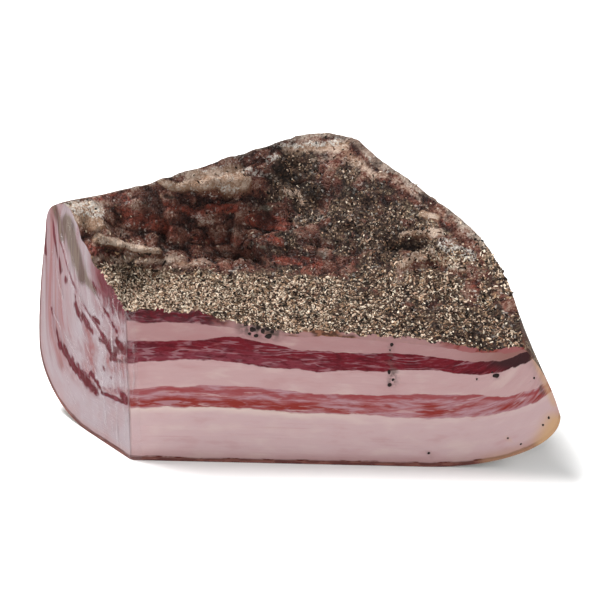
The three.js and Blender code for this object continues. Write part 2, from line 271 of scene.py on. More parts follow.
@dataclass(frozen=True)
class BellyForm:
    """The whole block's form. A point has a bearing, a share outward and a level upward."""

    left_cut: float = 133.0
    arc_stretch: float = 1.15
    wave_height: float = 0.55
    corner_fade: float = 0.06
    rim_fade: float = 0.15
    rim_relief: float = 0.2
    border_wave: float = 0.008
    border_sink: float = 0.24
    inside_turn: float = 7.0
    inside_start: float = 0.2
    inside_end: float = 0.09
    turn_crowding: float = 1.35
    lip_power: float = 1.6
    slope_step: float = 0.01
    edge_power: int = 6
    edge_out: float = 0.75
    edge_up: float = 0.66
    tip_reach: float = 141.8
    stations: tuple[Station, ...] = (
        Station(0, 128.5, 46.2, 141.8, 20, 98, 0, 20.5, 1.8),
        Station(7, 127.0, 54.5, 132, 22, 90, 1, 32, 1.2),
        Station(16, 121.0, 66.5, 126, 26, 82, 2, 47, 1.5),
        Station(28, 110.5, 75, 118, 30, 76, 3, 57, 2.5),
        Station(39, 104.0, 81.5, 113, 32, 70, 4.5, 64, 3),
        Station(48, 102.0, 85.5, 113, 34, 66, 5, 68, 3.5),
        Station(53, 95.0, 86, 108, 34, 60, 5, 69, 3.5),
        Station(61, 72.5, 84, 88, 34, 48, 5, 68, 3.5),
        Station(76, 49.0, 82.5, 66, 33, 36, 5, 66.5, 3.5),
        Station(100, 37.0, 81.5, 55, 28, 28, 6, 66, 3.5),
        Station(133, 32.0, 83, 50.6, 23, 24, 7, 67, 4),
    )
    reach_marks: tuple[float, ...] = (0, 0.13, 0.25, 0.36, 0.5, 0.65, 0.77, 0.89, 1)
    front_crust: tuple[float, ...] = (56.5, 56.4, 54.2, 50.6, 50.6, 49.4, 47.8, 45.2, 46.2)
    back_crust: tuple[float, ...] = (56.5, 55.5, 54, 53, 54, 58, 65.5, 76, 86)
    left_crust: tuple[float, ...] = (56.5, 60.5, 63.5, 65, 66.5, 71.5, 76.5, 80.5, 83)
    front_crust_turn: float = 45.0
    left_crust_start: float = 75.0
    border_marks: tuple[float, ...] = (0, 0.13, 0.3, 0.5, 0.7, 0.87, 1)
    front_borders: tuple[tuple[float, ...], ...] = (
        (0.36, 0.372, 0.392, 0.39, 0.375, 0.355, 0.345),
        (0.48, 0.508, 0.55, 0.53, 0.555, 0.5, 0.46),
        (0.649, 0.69, 0.715, 0.705, 0.745, 0.73, 0.8),
        (0.797, 0.81, 0.895, 0.845, 0.86, 0.855, 0.915),
        (0.937, 0.928, 0.958, 0.956, 0.956, 0.952, 0.955),
    )
    left_borders: tuple[tuple[float, ...], ...] = (
        (0.36, 0.31, 0.265, 0.24, 0.215, 0.165, 0.09),
        (0.48, 0.385, 0.33, 0.3, 0.275, 0.225, 0.15),
        (0.649, 0.57, 0.655, 0.675, 0.635, 0.625, 0.73),
        (0.797, 0.7, 0.715, 0.73, 0.69, 0.68, 0.79),
        (0.937, 0.89, 0.89, 0.92, 0.93, 0.93, 0.92),
    )
    folds: tuple[Mark, ...] = marks(
        (-10, 23, 7, 33, 5, 3), (7, 33, 38, 37, 5.5, 1.6), (-6, 28, 8, 38, 4.5, -2.6),
        (16, 45, 36, 44, 8, -4), (36, 44, 62, 42, 7, -3), (24, 50, 27, 51, 9, -2.5),
        (52, 64, 60, 60, 10, -6.5), (18, 49, 38, 60, 6, 3.2), (52, 47, 54, 46, 7, 3.2),
        (38, 50, 42, 47, 5, 2.2), (90, 45, 104, 44, 4.5, 3.2), (86, 40, 95, 38, 4, -3.2),
        (88, 32, 101, 36, 4.5, 3), (101, 36, 112, 28, 4.5, 2.6), (103, 40, 105, 39, 6, 3),
        (-14, 23, -8, 22, 4, -2.6), (8, 46, 14, 40, 5, 2.2), (48, 58, 36, 52, 6, -2.6),
        (70, 55, 84, 52, 7, -2.4), (66, 48, 80, 42, 6, 1.8), (114, 27, 118, 18, 6, -1.8),
    )

    def section(self, bearing: Array) -> dict[str, Array]:
        """The section's sizes at any bearings.

        Args:
            bearing: Degrees from the front cut.

        Returns:
            The values of each size by its name.
        """
        at = tuple(station.bearing for station in self.stations)
        sizes = [size.name for size in fields(Station)][1:]
        return {
            size: curve_through(at, tuple(getattr(station, size) for station in self.stations), bearing)
            for size in sizes
        }

    def rind(self, section: dict[str, Array], share: Array) -> tuple[Array, Array]:
        """The rind: flat, a quarter turn up to the reach, then a side that leans in.

        Args:
            section: Sizes from section().
            share: Share of the way from the corner to the rind's end.

        Returns:
            Distance outward and height.
        """
        reach, belly, flat = section["reach"], section["belly"], section["flat"]
        arc = self.arc_stretch * np.hypot(reach - flat, belly)
        side = section["lip_height"] - belly
        along = share * (flat + arc + side)
        turn = np.clip((along - flat) / arc, 0, 1) * math.pi / 2
        climb = np.clip((along - flat - arc) / side, 0, 1)
        lean_in = section["lip_in"] * climb**self.lip_power
        out = np.minimum(along, flat) + (reach - flat) * np.sin(turn) - lean_in
        return out, belly * (1 - np.cos(turn)) + side * climb

    def crust(self, section: dict[str, Array], bearing: Array, share: Array) -> Array:
        """Height of the crust before its folds.

        Args:
            section: Sizes from section().
            bearing: Degrees from the front cut.
            share: Share of the way out to the rim.

        Returns:
            Heights in millimetres.
        """
        front, back, left = (
            curve_through(self.reach_marks, curve, share) + (section["rim_height"] - curve[-1]) * share**power
            for curve, power in ((self.front_crust, 4), (self.back_crust, 3), (self.left_crust, 3))
        )
        front_share = ease(1 - bearing / self.front_crust_turn)
        left_share = ease((bearing - self.left_crust_start) / (self.left_cut - self.left_crust_start))
        return back * (1 - front_share) * (1 - left_share) + front * front_share + left * left_share

    def relief(self, x: Array, y: Array) -> Array:
        """Height of the folds and waves of the crust.

        Args:
            x: Places to the right of the corner.
            y: Places behind it.

        Returns:
            Heights in millimetres.
        """
        broad = np.sin(x * 0.31 + 1.7 * np.sin(y * 0.23)) * np.cos(y * 0.36 + 0.8 * np.sin(x * 0.19))
        fine = np.sin(x * 0.83 + y * 0.41 + 1.1) * np.sin(y * 0.77 - x * 0.27 + 0.6)
        return heaped(self.folds, x, y) + self.wave_height * (broad + fine)

    def point(self, bearing: Array, share: Array, level: Array, folded: Array | float = 1.0,
              crags: Array | float = 0.0) -> Array:
        """Places of points of the block.

        Args:
            bearing: Degrees from the front cut.
            share: Share of the way outward.
            level: Share of the way up from the rind to the crust.
            folded: How much of the crust's folds a point follows.
            crags: Extra height of the crust in millimetres.

        Returns:
            Points in millimetres from the corner's foot.
        """
        section = self.section(bearing)
        angle = np.radians(bearing)
        rind_out, rind_up = self.rind(section, share)
        crust_out, crust_up = section["rim"] * share, self.crust(section, bearing, share)
        inner, outer = np.maximum(share - self.slope_step, 0), np.minimum(share + self.slope_step, 1)
        rise = self.crust(section, bearing, outer) - self.crust(section, bearing, inner)
        slope = rise / (section["rim"] * (outer - inner))
        fade = ease(share / self.corner_fade)
        weak = self.rim_relief + (1 - self.rim_relief) * ease((1 - share) / self.rim_fade)
        relief = self.relief(crust_out * np.cos(angle), crust_out * np.sin(angle))
        lift = (relief * weak * folded + crags) * fade / np.hypot(slope, 1)
        crust_out = crust_out - lift * slope * np.sin(math.pi * share)
        crust_up = crust_up + lift
        edge = section["bulge"] * np.sin(math.pi * level) * share**self.edge_power
        out = rind_out + (crust_out - rind_out) * level + edge * self.edge_out
        up = rind_up + (crust_up - rind_up) * level + edge * self.edge_up
        return np.stack([out * np.cos(angle), out * np.sin(angle), up], axis=-1)

    def border(self, index: int, bearing: Array, share: Array) -> Array:
        """Level of one border between layers.

        Args:
            index: 0 for the rind's underside, 1 to 5 for the borders, 6 for the crust.
            bearing: Degrees from the front cut.
            share: Share of the way outward.

        Returns:
            Levels from 0 to 1.
        """
        if index in (0, len(self.front_borders) + 1):
            return np.full_like(share, min(index, 1))
        turn = ease(bearing / self.left_cut)
        front = curve_through(self.border_marks, self.front_borders[index - 1], share)
        left = curve_through(self.border_marks, self.left_borders[index - 1], share)
        wave = np.sin(bearing * 0.11 + index - 1) * np.sin(math.pi * share) * np.sin(math.pi * turn)
        level = front + (left - front) * turn + self.border_wave * wave
        from_cuts = np.minimum(bearing, self.left_cut - bearing) / self.inside_turn
        inside = ease(from_cuts) * ease(share / self.inside_start) * ease((1 - share) / self.inside_end)
        return level * (1 - self.border_sink * level * inside)

    def to_frame(self, points: Array) -> Array:
        """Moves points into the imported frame.

        Args:
            points: Points in millimetres from the corner's foot.

        Returns:
            Points in metres.
        """
        low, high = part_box("rind_fat")
        corner = np.array([high.x - self.tip_reach * MM, low.y, low.z])
        return points * MM + corner


FORM = BellyForm()
VIEW_TILT, VIEW_TURN = math.radians(28.0), math.radians(2.5)


def seen(points: Array) -> tuple[Array, Array]:
    """Places points on a plane that looks on the block from the front and above.

    Args:
        points: Points in millimetres from the corner's foot.

    Returns:
        Distance to the right and distance upward on that plane, from the corner's foot.
    """
    x, y, z = points[:, 0], points[:, 1], points[:, 2]
    right = x * math.cos(VIEW_TURN) + y * math.sin(VIEW_TURN)
    ahead = y * math.cos(VIEW_TURN) - x * math.sin(VIEW_TURN)
    return right, ahead * math.sin(VIEW_TILT) + z * math.cos(VIEW_TILT)


class Wire:
    """One output of a node, with maths written as expressions."""

    def __init__(self, recipe: "Recipe", socket: bpy.types.NodeSocket) -> None:
        """Keeps the recipe and the socket."""
        self.recipe = recipe
        self.socket = socket

    def maths(self, operation: str, *values: "Wire | float") -> "Wire":
        """Adds one Math node on these values."""
        return self.recipe.node("ShaderNodeMath", {"operation": operation}, dict(enumerate(values)))

    def __add__(self, other: "Wire | float") -> "Wire":
        """self + other."""
        return self.maths("ADD", self, other)

    __radd__ = __add__

    def __sub__(self, other: "Wire | float") -> "Wire":
        """self - other."""
        return self.maths("SUBTRACT", self, other)

    def __rsub__(self, other: float) -> "Wire":
        """other - self."""
        return self.maths("SUBTRACT", other, self)

    def __mul__(self, other: "Wire | float") -> "Wire":
        """self * other."""
        return self.maths("MULTIPLY", self, other)

    __rmul__ = __mul__

    def __truediv__(self, other: "Wire | float") -> "Wire":
        """self / other."""
        return self.maths("DIVIDE", self, other)

    def largest(self, other: "Wire | float") -> "Wire":
        """The larger of two values."""
        return self.maths("MAXIMUM", self, other)

    def away_from(self, value: float) -> "Wire":
        """Distance from a value."""
        return self.maths("ABSOLUTE", self - value)

    def between(self, low: float, high: float) -> "Wire":
        """A smooth step.

        Args:
            low: Where it is 0.
            high: Where it is 1; below low, the step falls.

        Returns:
            The step as a wire.
        """
        inputs = {"Value": self, "From Min": min(low, high), "From Max": max(low, high)}
        step = self.recipe.node("ShaderNodeMapRange", {"interpolation_type": "SMOOTHSTEP"}, inputs)
        return 1 - step if low > high else step


class Recipe:
    """The nodes of one material."""

    def __init__(self, name: str, along_grain: bool = False) -> None:
        """Starts a material with a Principled shader.

        Args:
            name: The material's name.
            along_grain: Whether its patterns follow the layers' grain, and not the piece's own place.
        """
        self.material = bpy.data.materials.new(name)
        self.material.use_nodes = True
        self.tree = self.material.node_tree
        self.tree.nodes.clear()
        self.shader = self.tree.nodes.new("ShaderNodeBsdfPrincipled")
        output = self.tree.nodes.new("ShaderNodeOutputMaterial")
        self.tree.links.new(self.shader.outputs[0], output.inputs["Surface"])
        self.place = self.attribute("grain", "Vector") if along_grain else self.millimetres()

    def node(self, kind: str, settings: dict | None = None, inputs: dict | None = None,
             output: int | str = 0) -> Wire:
        """Adds a node.

        Args:
            kind: The node's type.
            settings: Its settings, set first; stops are a colour ramp's.
            inputs: Values or wires for its sockets, by name or number.
            output: Which output to return.

        Returns:
            The output as a wire.
        """
        node = self.tree.nodes.new(kind)
        for name, value in (settings or {}).items():
            if name == "stops":
                self._set_stops(node.color_ramp, value)
            else:
                setattr(node, name, value)
        self._connect(node, inputs or {})
        return Wire(self, node.outputs[output])

    def _connect(self, node: bpy.types.Node, inputs: dict) -> None:
        """Gives a node's sockets their values or wires.

        Args:
            node: The node.
            inputs: Values or wires, by name or number.
        """
        for name, value in inputs.items():
            if isinstance(value, Wire):
                self.tree.links.new(value.socket, node.inputs[name])
            else:
                node.inputs[name].default_value = value

    @staticmethod
    def _set_stops(ramp: bpy.types.ColorRamp, stops: tuple[tuple[float, Colour], ...]) -> None:
        """Gives a colour ramp its stops.

        Args:
            ramp: The ramp, with its first two stops.
            stops: Positions and colours, rising.
        """
        while len(ramp.elements) < len(stops):
            ramp.elements.new(1.0)
        for element, (position, colour) in zip(ramp.elements, stops):
            element.position = position
            element.color = colour

    def ramp(self, value: Wire, *stops: tuple[float, Colour]) -> Wire:
        """A colour read from a ramp."""
        return self.node("ShaderNodeValToRGB", {"stops": stops}, {"Fac": value})

    def blend(self, share: Wire | float, first: Wire | Colour, second: Wire | Colour) -> Wire:
        """Mixes two colours; share 0 gives the first."""
        return self.node("ShaderNodeMix", {"data_type": "RGBA"}, {0: share, 6: first, 7: second}, 2)

    def coats(self, colour: Wire, *coats: tuple[Wire, Wire | Colour]) -> Wire:
        """Lays coats over a colour.

        Args:
            colour: The ground.
            *coats: How much each coat covers, and its colour.

        Returns:
            The colour of all coats together.
        """
        for share, tint in coats:
            colour = self.blend(share, colour, tint)
        return colour

    def attribute(self, name: str, output: str = "Fac") -> Wire:
        """A number, or with output Vector a vector, stored on the mesh."""
        return self.node("ShaderNodeAttribute", {"attribute_name": name}, None, output)

    def millimetres(self) -> Wire:
        """The piece's own place in millimetres."""
        place = self.node("ShaderNodeTexCoord", None, None, "Object")
        return self.node("ShaderNodeVectorMath", {"operation": "SCALE"}, {0: place, "Scale": 1 / MM})

    def scaled(self, size: float | tuple[float, float, float]) -> Wire:
        """Measures the place in cells.

        Args:
            size: Size of a cell in millimetres, the same all round or along each axis.

        Returns:
            The place in cells.
        """
        factors = tuple(1 / each for each in (size if isinstance(size, tuple) else (size,) * 3))
        return self.node("ShaderNodeVectorMath", {"operation": "MULTIPLY"}, {0: self.place, 1: factors})

    def noise(self, size: float | tuple[float, float, float], detail: float = 3.0, roughness: float = 0.5,
              distortion: float = 0.0) -> Wire:
        """Noise from 0 to 1.

        Args:
            size: Size of its lumps in millimetres, the same all round or along each axis.
            detail: How many finer noises are added.
            roughness: How strong the finer ones are.
            distortion: How far it is drawn about.

        Returns:
            The noise as a wire.
        """
        inputs = {
            "Vector": self.scaled(size), "Scale": 1.0, "Detail": detail, "Roughness": roughness,
            "Distortion": distortion,
        }
        return self.node("ShaderNodeTexNoise", None, inputs)

    def cells(self, size: float, output: str = "Distance") -> Wire:
        """Cells of one size: the distance from the nearest one's middle, or its Color."""
        inputs = {"Vector": self.scaled(size), "Scale": 1.0, "Randomness": 1.0}
        return self.node("ShaderNodeTexVoronoi", {"feature": "F1"}, inputs, output)

    def grit(self, size: float) -> Wire:
        """A number from 0 to 1 for each cell of one size."""
        return self.node("ShaderNodeSeparateColor", None, {"Color": self.cells(size, "Color")}, "Red")

    def dress(self, colour: Wire | Colour, roughness: Wire | float, height: Wire | None = None,
              depth: float = 0.0, **constants: float | tuple[float, float, float]) -> Material:
        """Connects the shader.

        Args:
            colour: Base colour.
            roughness: Roughness.
            height: Height for the bump, 0 to 1.
            depth: What a height of 1 stands for, in metres.
            **constants: Other sockets of the shader, with spaces as underscores.

        Returns:
            The finished material.
        """
        values = {"Base Color": colour, "Roughness": roughness}
        values.update({name.replace("_", " "): value for name, value in constants.items()})
        if height is not None:
            bump = {"Strength": 1.0, "Distance": depth, "Height": height}
            values["Normal"] = self.node("ShaderNodeBump", None, bump)
        self._connect(self.shader, values)
        return self.material


@dataclass(frozen=True)
class CutFlesh:
    """Moist cut faces: bands of fat and lean with streaks along the layers."""

    rind: Colour = lit(128, 78, 68)
    rind_dark: Colour = lit(88, 42, 36)
    rind_soft: Colour = lit(166, 130, 129)
    fat_low: Colour = lit(180, 146, 146)
    fat: Colour = lit(190, 162, 163)
    fat_cream: Colour = lit(204, 184, 176)
    fat_middle: Colour = lit(184, 151, 151)
    fat_upper: Colour = lit(166, 127, 127)
    fat_end: Colour = lit(140, 98, 92)
    fat_wrapped: Colour = lit(158, 134, 138)
    pink: Colour = lit(158, 100, 103)
    lilac: Colour = lit(168, 130, 137)
    red: Colour = lit(140, 58, 60)
    red_brown: Colour = lit(132, 46, 40)
    wine: Colour = lit(104, 22, 33)
    wine_pale: Colour = lit(134, 72, 84)
    wine_dark: Colour = lit(78, 15, 24)
    wine_end: Colour = lit(50, 30, 32)
    wrapped_line: Colour = lit(110, 40, 52)
    wrapped_red: Colour = lit(84, 8, 18)
    wrapped_pink: Colour = lit(150, 98, 98)
    wrapped_grey: Colour = lit(172, 158, 162)
    green_fat: Colour = lit(112, 96, 80)
    dirt: Colour = lit(80, 54, 42)
    orange: Colour = lit(134, 90, 70)
    halo: Colour = lit(94, 78, 74)
    amber: Colour = lit(196, 158, 120)

    def fat_colours(self, recipe: Recipe, band: Wire, out: Wire) -> Wire:
        """Fat: pinker at the rind and in the upper layer, creamy under the lower lean.

        Args:
            recipe: The material's nodes.
            band: Which layer, and how far up in it.
            out: Distance from the corner in millimetres.

        Returns:
            The colour.
        """
        clouds = recipe.noise((13, 13, 5))
        threads = recipe.noise((34, 34, 1.1), 3, 0.6)
        ground = recipe.ramp(
            band / 6, (0.0, self.fat_low), (0.05, self.fat), (0.145, self.fat), (0.163, self.fat_cream),
            (0.17, self.fat_cream), (0.33, self.fat_middle), (0.49, self.fat_middle), (0.66, self.fat_upper),
            (1.0, self.fat_upper),
        )
        return recipe.coats(
            ground,
            (out.between(55, 80) * band.away_from(0.95).between(0.12, 0.0) * 0.7, self.fat),
            (clouds.between(0.5, 0.72) * 0.4, self.fat_cream),
            (clouds.between(0.48, 0.3) * 0.2, self.pink),
            (threads.between(0.58, 0.72) * 0.14, self.pink),
        )

    def lower_lean(self, recipe: Recipe, share: Wire, out: Wire) -> Wire:
        """The streaky layer: a thick red-brown strand below, pink strands and lilac fat above.

        Args:
            recipe: The material's nodes.
            share: How far up in the layer, from 0 to 1.
            out: Distance from the corner in millimetres.

        Returns:
            The colour.
        """
        base = recipe.noise((17, 17, 2.4), 4, 0.6, 0.3)
        bend = (recipe.noise((16, 16, 50), 2) - 0.5) * 0.5
        strand = (share + bend).away_from(0.28).between(0.34, 0.12)
        mottle = recipe.noise((12, 12, 1.8), 4) + out.between(70, 50) * 0.14
        fibres = recipe.noise((7, 7, 0.7), 4, 0.65, 0.2)
        soft = recipe.noise((9, 9, 1.8), 3, 0.55, 0.4)
        gaps = recipe.noise((11, 11, 1.2), 4, 0.6, 0.5)
        return recipe.coats(
            recipe.ramp(base, (0.34, self.red), (0.45, self.pink), (0.55, self.lilac), (0.68, self.pink)),
            (strand * mottle.between(0.42, 0.62), self.red_brown),
            ((share + bend * 1.4).away_from(0.82).between(0.2, 0.05) * 0.8, self.red),
            (fibres.between(0.5, 0.66) * 0.6, self.red),
            (soft.between(0.54, 0.68) * 0.7, self.lilac),
            (gaps.between(0.58, 0.68) * 0.7, self.fat_middle),
        )

    def upper_lean(self, recipe: Recipe, share: Wire, out: Wire) -> Wire:
        """The dark layer: wine red, silvery below, thinly marbled and nearly black at its end.

        Args:
            recipe: The material's nodes.
            share: How far up in the layer, from 0 to 1.
            out: Distance from the corner in millimetres.

        Returns:
            The colour.
        """
        base = recipe.noise((12, 12, 3), 4, 0.6, 0.4)
        silver = (share + (base - 0.5) * 1.6).between(0.62, 0.3) * out.between(76, 52)
        soft = recipe.noise((8, 8, 2), 4, 0.55)
        fibres = recipe.noise((3.2, 3.2, 0.6), 4, 0.65)
        dark = recipe.noise((5, 5, 1.6), 4, 0.65, 0.2)
        veins = recipe.noise((16, 16, 2.2), 3, 0.5, 0.15).away_from(0.5).between(0.04, 0.012)
        unbroken = recipe.noise((9, 9, 5), 2).between(0.45, 0.55)
        return recipe.coats(
            recipe.ramp(base, (0.34, self.wine_dark), (0.5, self.wine), (0.7, self.wine)),
            (silver * 0.32, self.wine_pale),
            (soft.between(0.54, 0.76) * 0.5, self.pink),
            (fibres.between(0.5, 0.68) * 0.45, self.wine_pale),
            (dark.between(0.5, 0.38) * 0.8, self.wine_dark),
            (veins * unbroken * 0.4, self.lilac),
            ((out + (share - 0.5) * 6).between(115, 124) * 0.92, self.wine_end),
        )

    def wrapped(self, recipe: Recipe, band: Wire, out: Wire) -> Wire:
        """The left cut under its wrap: mottled fat, with thin and broken lines of lean.

        Args:
            recipe: The material's nodes.
            band: Which layer, and how far up in it.
            out: Distance from the corner in millimetres.

        Returns:
            The colour.
        """
        clouds = recipe.noise((9, 9, 13), 4, 0.62)
        fine = recipe.noise((2.2, 2.2, 3.4), 4, 0.66)
        cloud, fleck = clouds - 0.5, fine - 0.5
        blots = recipe.noise((7, 7, 5), 4, 0.6)
        dried = recipe.noise((3, 3, 16), 4, 0.6, 0.4)
        strands = recipe.noise((1.6, 1.6, 4.5), 3, 0.6, 0.3)
        strand = strands - 0.5
        line = out.between(6, 13)
        outer = (out + cloud * 40 + fleck * 16).between(30, 42)
        lower = band.away_from(1.5).between(0.7, 0.4) * blots.between(0.5, 0.6)
        upper = (band.away_from(3.5) + line * 0.3).between(0.56, 0.4) * blots.between(0.36, 0.46)
        purple = (dried + out * 0.006).between(0.8, 0.9) * band.between(1.2, 2)
        stain = recipe.attribute("lean")
        lean = stain + (fleck * 2.4 + strand * 1.9) * stain.between(0.0, 0.5)
        green = (recipe.attribute("green") + cloud * 1.6 + fleck * 0.8).between(0.2, 0.9)
        streaky = (dried + fleck * 0.5).between(0.42, 0.56)
        top = (band + strand * 2.4 + cloud).between(4.4, 5.2) * out.between(22, 12)
        pinks, reds = (self.wrapped_pink, self.fat_wrapped), (self.wrapped_red, self.wrapped_line)
        return recipe.coats(
            recipe.ramp(clouds + fleck * 0.25, (0.36, pinks[0]), (0.48, pinks[1]), (0.6, self.wrapped_grey)),
            (outer * 0.85, recipe.blend(blots.between(0.4, 0.58), *pinks)),
            (purple * 0.6, self.wrapped_line),
            ((band + cloud).between(1.1, 0.7) * 0.7, self.wrapped_grey),
            (lower * 0.6, recipe.blend(fine.between(0.4, 0.56), self.wrapped_line, self.wrapped_pink)),
            (upper * 0.85, recipe.blend(line, *reds)),
            (lean.between(0.12, 0.7), recipe.blend(strands.between(0.48, 0.7), *reds)),
            (green * 0.85, recipe.blend(streaky, self.dirt, self.green_fat)),
            (top * 0.9, recipe.blend(strands.between(0.4, 0.6), *reds)),
        )

    def material(self) -> Material:
        """Builds the material.

        Returns:
            The finished material.
        """
        recipe = Recipe("cut_flesh", along_grain=True)
        out, above = (recipe.node("ShaderNodeSeparateXYZ", None, {0: recipe.place}, axis) for axis in "XZ")
        broad, fine = recipe.noise((15, 15, 6)) - 0.5, recipe.noise((3.5, 3.5, 2)) - 0.5
        wobble = broad * 3.4 + fine * 1.3
        band = recipe.attribute("band") + wobble / recipe.attribute("thick")
        rough = recipe.noise((2, 2, 1.4))
        strip = recipe.coats(
            recipe.blend(rough.between(0.42, 0.56), self.orange, self.dirt),
            (broad.between(-0.04, 0.06) * 0.85, self.fat_upper),
            (out.between(98, 108) * 0.6, self.red),
        )
        top = recipe.coats(
            self.upper_lean(recipe, band - 5, out),
            (rough.between(0.42, 0.58) * 0.4 + 0.26, self.wine_end),
            ((out + wobble * 4).between(24, 40), strip),
        )
        level = above + wobble * 0.35
        broken = recipe.noise((6, 6, 1.2), 4, 0.6)
        rind = recipe.blend(broken.between(0.4, 0.56), self.rind, self.rind_dark)
        colour = recipe.coats(
            self.fat_colours(recipe, band, out),
            (band.away_from(1.5).between(0.53, 0.48), self.lower_lean(recipe, band - 1, out)),
            (band.away_from(3.5).between(0.53, 0.48), self.upper_lean(recipe, band - 3, out)),
            (band.between(3.9, 4.1) * out.between(104, 126), self.fat_end),
            (band.between(4.97, 5.06), top),
            (recipe.attribute("round").between(0.5, 0.9), self.wrapped(recipe, band, out)),
            (level.between(5.0, 1.5) * 0.5, self.rind_soft),
            (level.between(1.9, 1.2) * 0.9, rind),
            (level.away_from(1.5).between(0.5, 0.2) * broken.between(0.5, 0.4), self.rind_dark),
            (recipe.attribute("halo") * recipe.noise(2.2).between(0.36, 0.56), self.halo),
            (recipe.attribute("amber"), self.amber),
        )
        height = broad * 0.5 + recipe.noise((22, 22, 0.8)) * 0.5
        return recipe.dress(
            colour, 0.42 + fine * 0.2, height, 0.0003, Subsurface_Weight=0.04,
            Subsurface_Radius=(0.0022, 0.001, 0.0008), Subsurface_Scale=1.0, Specular_IOR_Level=0.05,
        )


def pepper_dust(recipe: Recipe, shift: Wire) -> Wire:
    """Colours of finely ground pepper, from black to pale.

    Args:
        recipe: The material's nodes.
        shift: How pale, from 0 to 1.

    Returns:
        The colour.
    """
    return recipe.ramp(
        shift, (0.1, shade(18, 12, 10)), (0.34, shade(40, 30, 25)), (0.5, shade(76, 58, 46)),
        (0.66, shade(112, 91, 73)), (0.84, shade(146, 127, 104)), (1.0, shade(182, 166, 142)),
    )


@dataclass(frozen=True)
class RindSkin:
    """The scalded skin below and behind: amber brown with a grey bloom, wrinkled and dusted."""

    pale: Colour = shade(150, 126, 106)
    amber: Colour = shade(126, 94, 70)
    brown: Colour = shade(96, 68, 53)
    dark: Colour = shade(58, 42, 35)
    bloom: Colour = shade(134, 124, 114)

    def material(self) -> Material:
        """Builds the material.

        Returns:
            The finished material.
        """
        recipe = Recipe("rind_skin")
        mottle = recipe.noise((19, 19, 12), 5, 0.66, 0.5)
        fine = recipe.noise((2.2, 2.2, 1.6), 4, 0.65)
        grit, pores = recipe.grit(0.9), recipe.cells(1.8)
        bloomed = recipe.noise((14, 14, 8), 5, 0.7)
        wrinkles = recipe.noise((9, 9, 2.4), 4, 0.6, 1.5).away_from(0.5)
        stuck = (recipe.noise((11, 11, 9), 4, 0.7) + (grit - 0.5) * 0.22).between(0.54, 0.62)
        tone = mottle + (fine - 0.5) * 0.35
        colour = recipe.coats(
            recipe.ramp(tone, (0.3, self.dark), (0.42, self.brown), (0.55, self.amber), (0.7, self.pale)),
            (bloomed.between(0.5, 0.66) * 0.55, self.bloom),
            # Dark lines in the wrinkles' valleys: painted shade in the creases.
            (wrinkles.between(0.03, 0.0) * 0.55, self.dark),
            (pores.between(0.16, 0.06) * 0.7, self.dark),
            (stuck * 0.85, pepper_dust(recipe, grit * 0.8 + fine * 0.2)),
        )
        relief = wrinkles.between(0.0, 0.12) * 0.5 + fine * 0.3 + pores.between(0.0, 0.2) * 0.2
        return recipe.dress(
            colour, 0.5 + (fine - 0.5) * 0.4 + stuck * 0.2, relief + stuck * grit * 0.3, 0.0011,
            Coat_Weight=0.06, Coat_Roughness=0.3, Specular_IOR_Level=0.2, Subsurface_Weight=0.05,
            Subsurface_Radius=(0.002, 0.001, 0.0006), Subsurface_Scale=1.0,
        )


@dataclass(frozen=True)
class DriedEdge:
    """The belly's own edge: layers dried to a brown crust, with amber fat and stuck pepper."""

    amber: Colour = shade(122, 92, 70)
    cream: Colour = shade(144, 121, 103)
    warm: Colour = shade(98, 60, 44)
    brown: Colour = shade(70, 47, 38)
    dark: Colour = shade(32, 22, 19)
    red: Colour = shade(78, 42, 35)

    def material(self) -> Material:
        """Builds the material.

        Returns:
            The finished material.
        """
        recipe = Recipe("dried_edge")
        broad = recipe.noise((10, 10, 7), 4, 0.6)
        lumps = recipe.noise((3.6, 3.6, 2.2), 4, 0.65, 0.5)
        fine, grit = recipe.noise(0.9, 3, 0.6), recipe.grit(0.85)
        mixed = broad * 0.45 + lumps * 0.55 + (grit - 0.5) * 0.14
        warped = recipe.attribute("band") + (broad - 0.5) * 2.6 + (lumps - 0.5) * 1.5
        lean = warped.away_from(1.5).between(0.6, 0.3).largest(warped.away_from(3.6).between(0.6, 0.3))
        fat = warped.away_from(0.5).between(0.5, 0.2).largest(warped.away_from(2.6).between(0.45, 0.15))
        tan = recipe.blend(lumps.between(0.44, 0.6), self.amber, self.cream)
        stuck = (recipe.noise(9, 4, 0.7) + (grit - 0.5) * 0.22).between(0.46, 0.56)
        ground = recipe.ramp(
            mixed, (0.36, self.dark), (0.46, self.brown), (0.54, self.warm), (0.62, self.brown),
            (0.72, self.amber),
        )
        colour = recipe.coats(
            ground,
            (lean * 0.6, recipe.blend(fine.between(0.4, 0.6), self.dark, self.red)),
            (fat * lumps.between(0.38, 0.54) * 0.8, tan),
            (stuck * 0.85, pepper_dust(recipe, grit * 0.7 + fine * 0.25)),
            (lumps.away_from(0.44).between(0.03, 0.0) * 0.7, self.dark),
        )
        height = lumps * 0.55 + broad * 0.15 + grit * 0.15 + fine * 0.15
        return recipe.dress(
            colour, 0.62 + (fine - 0.5) * 0.4, height, 0.0018, Coat_Weight=0.02, Coat_Roughness=0.3,
            Specular_IOR_Level=0.1,
        )


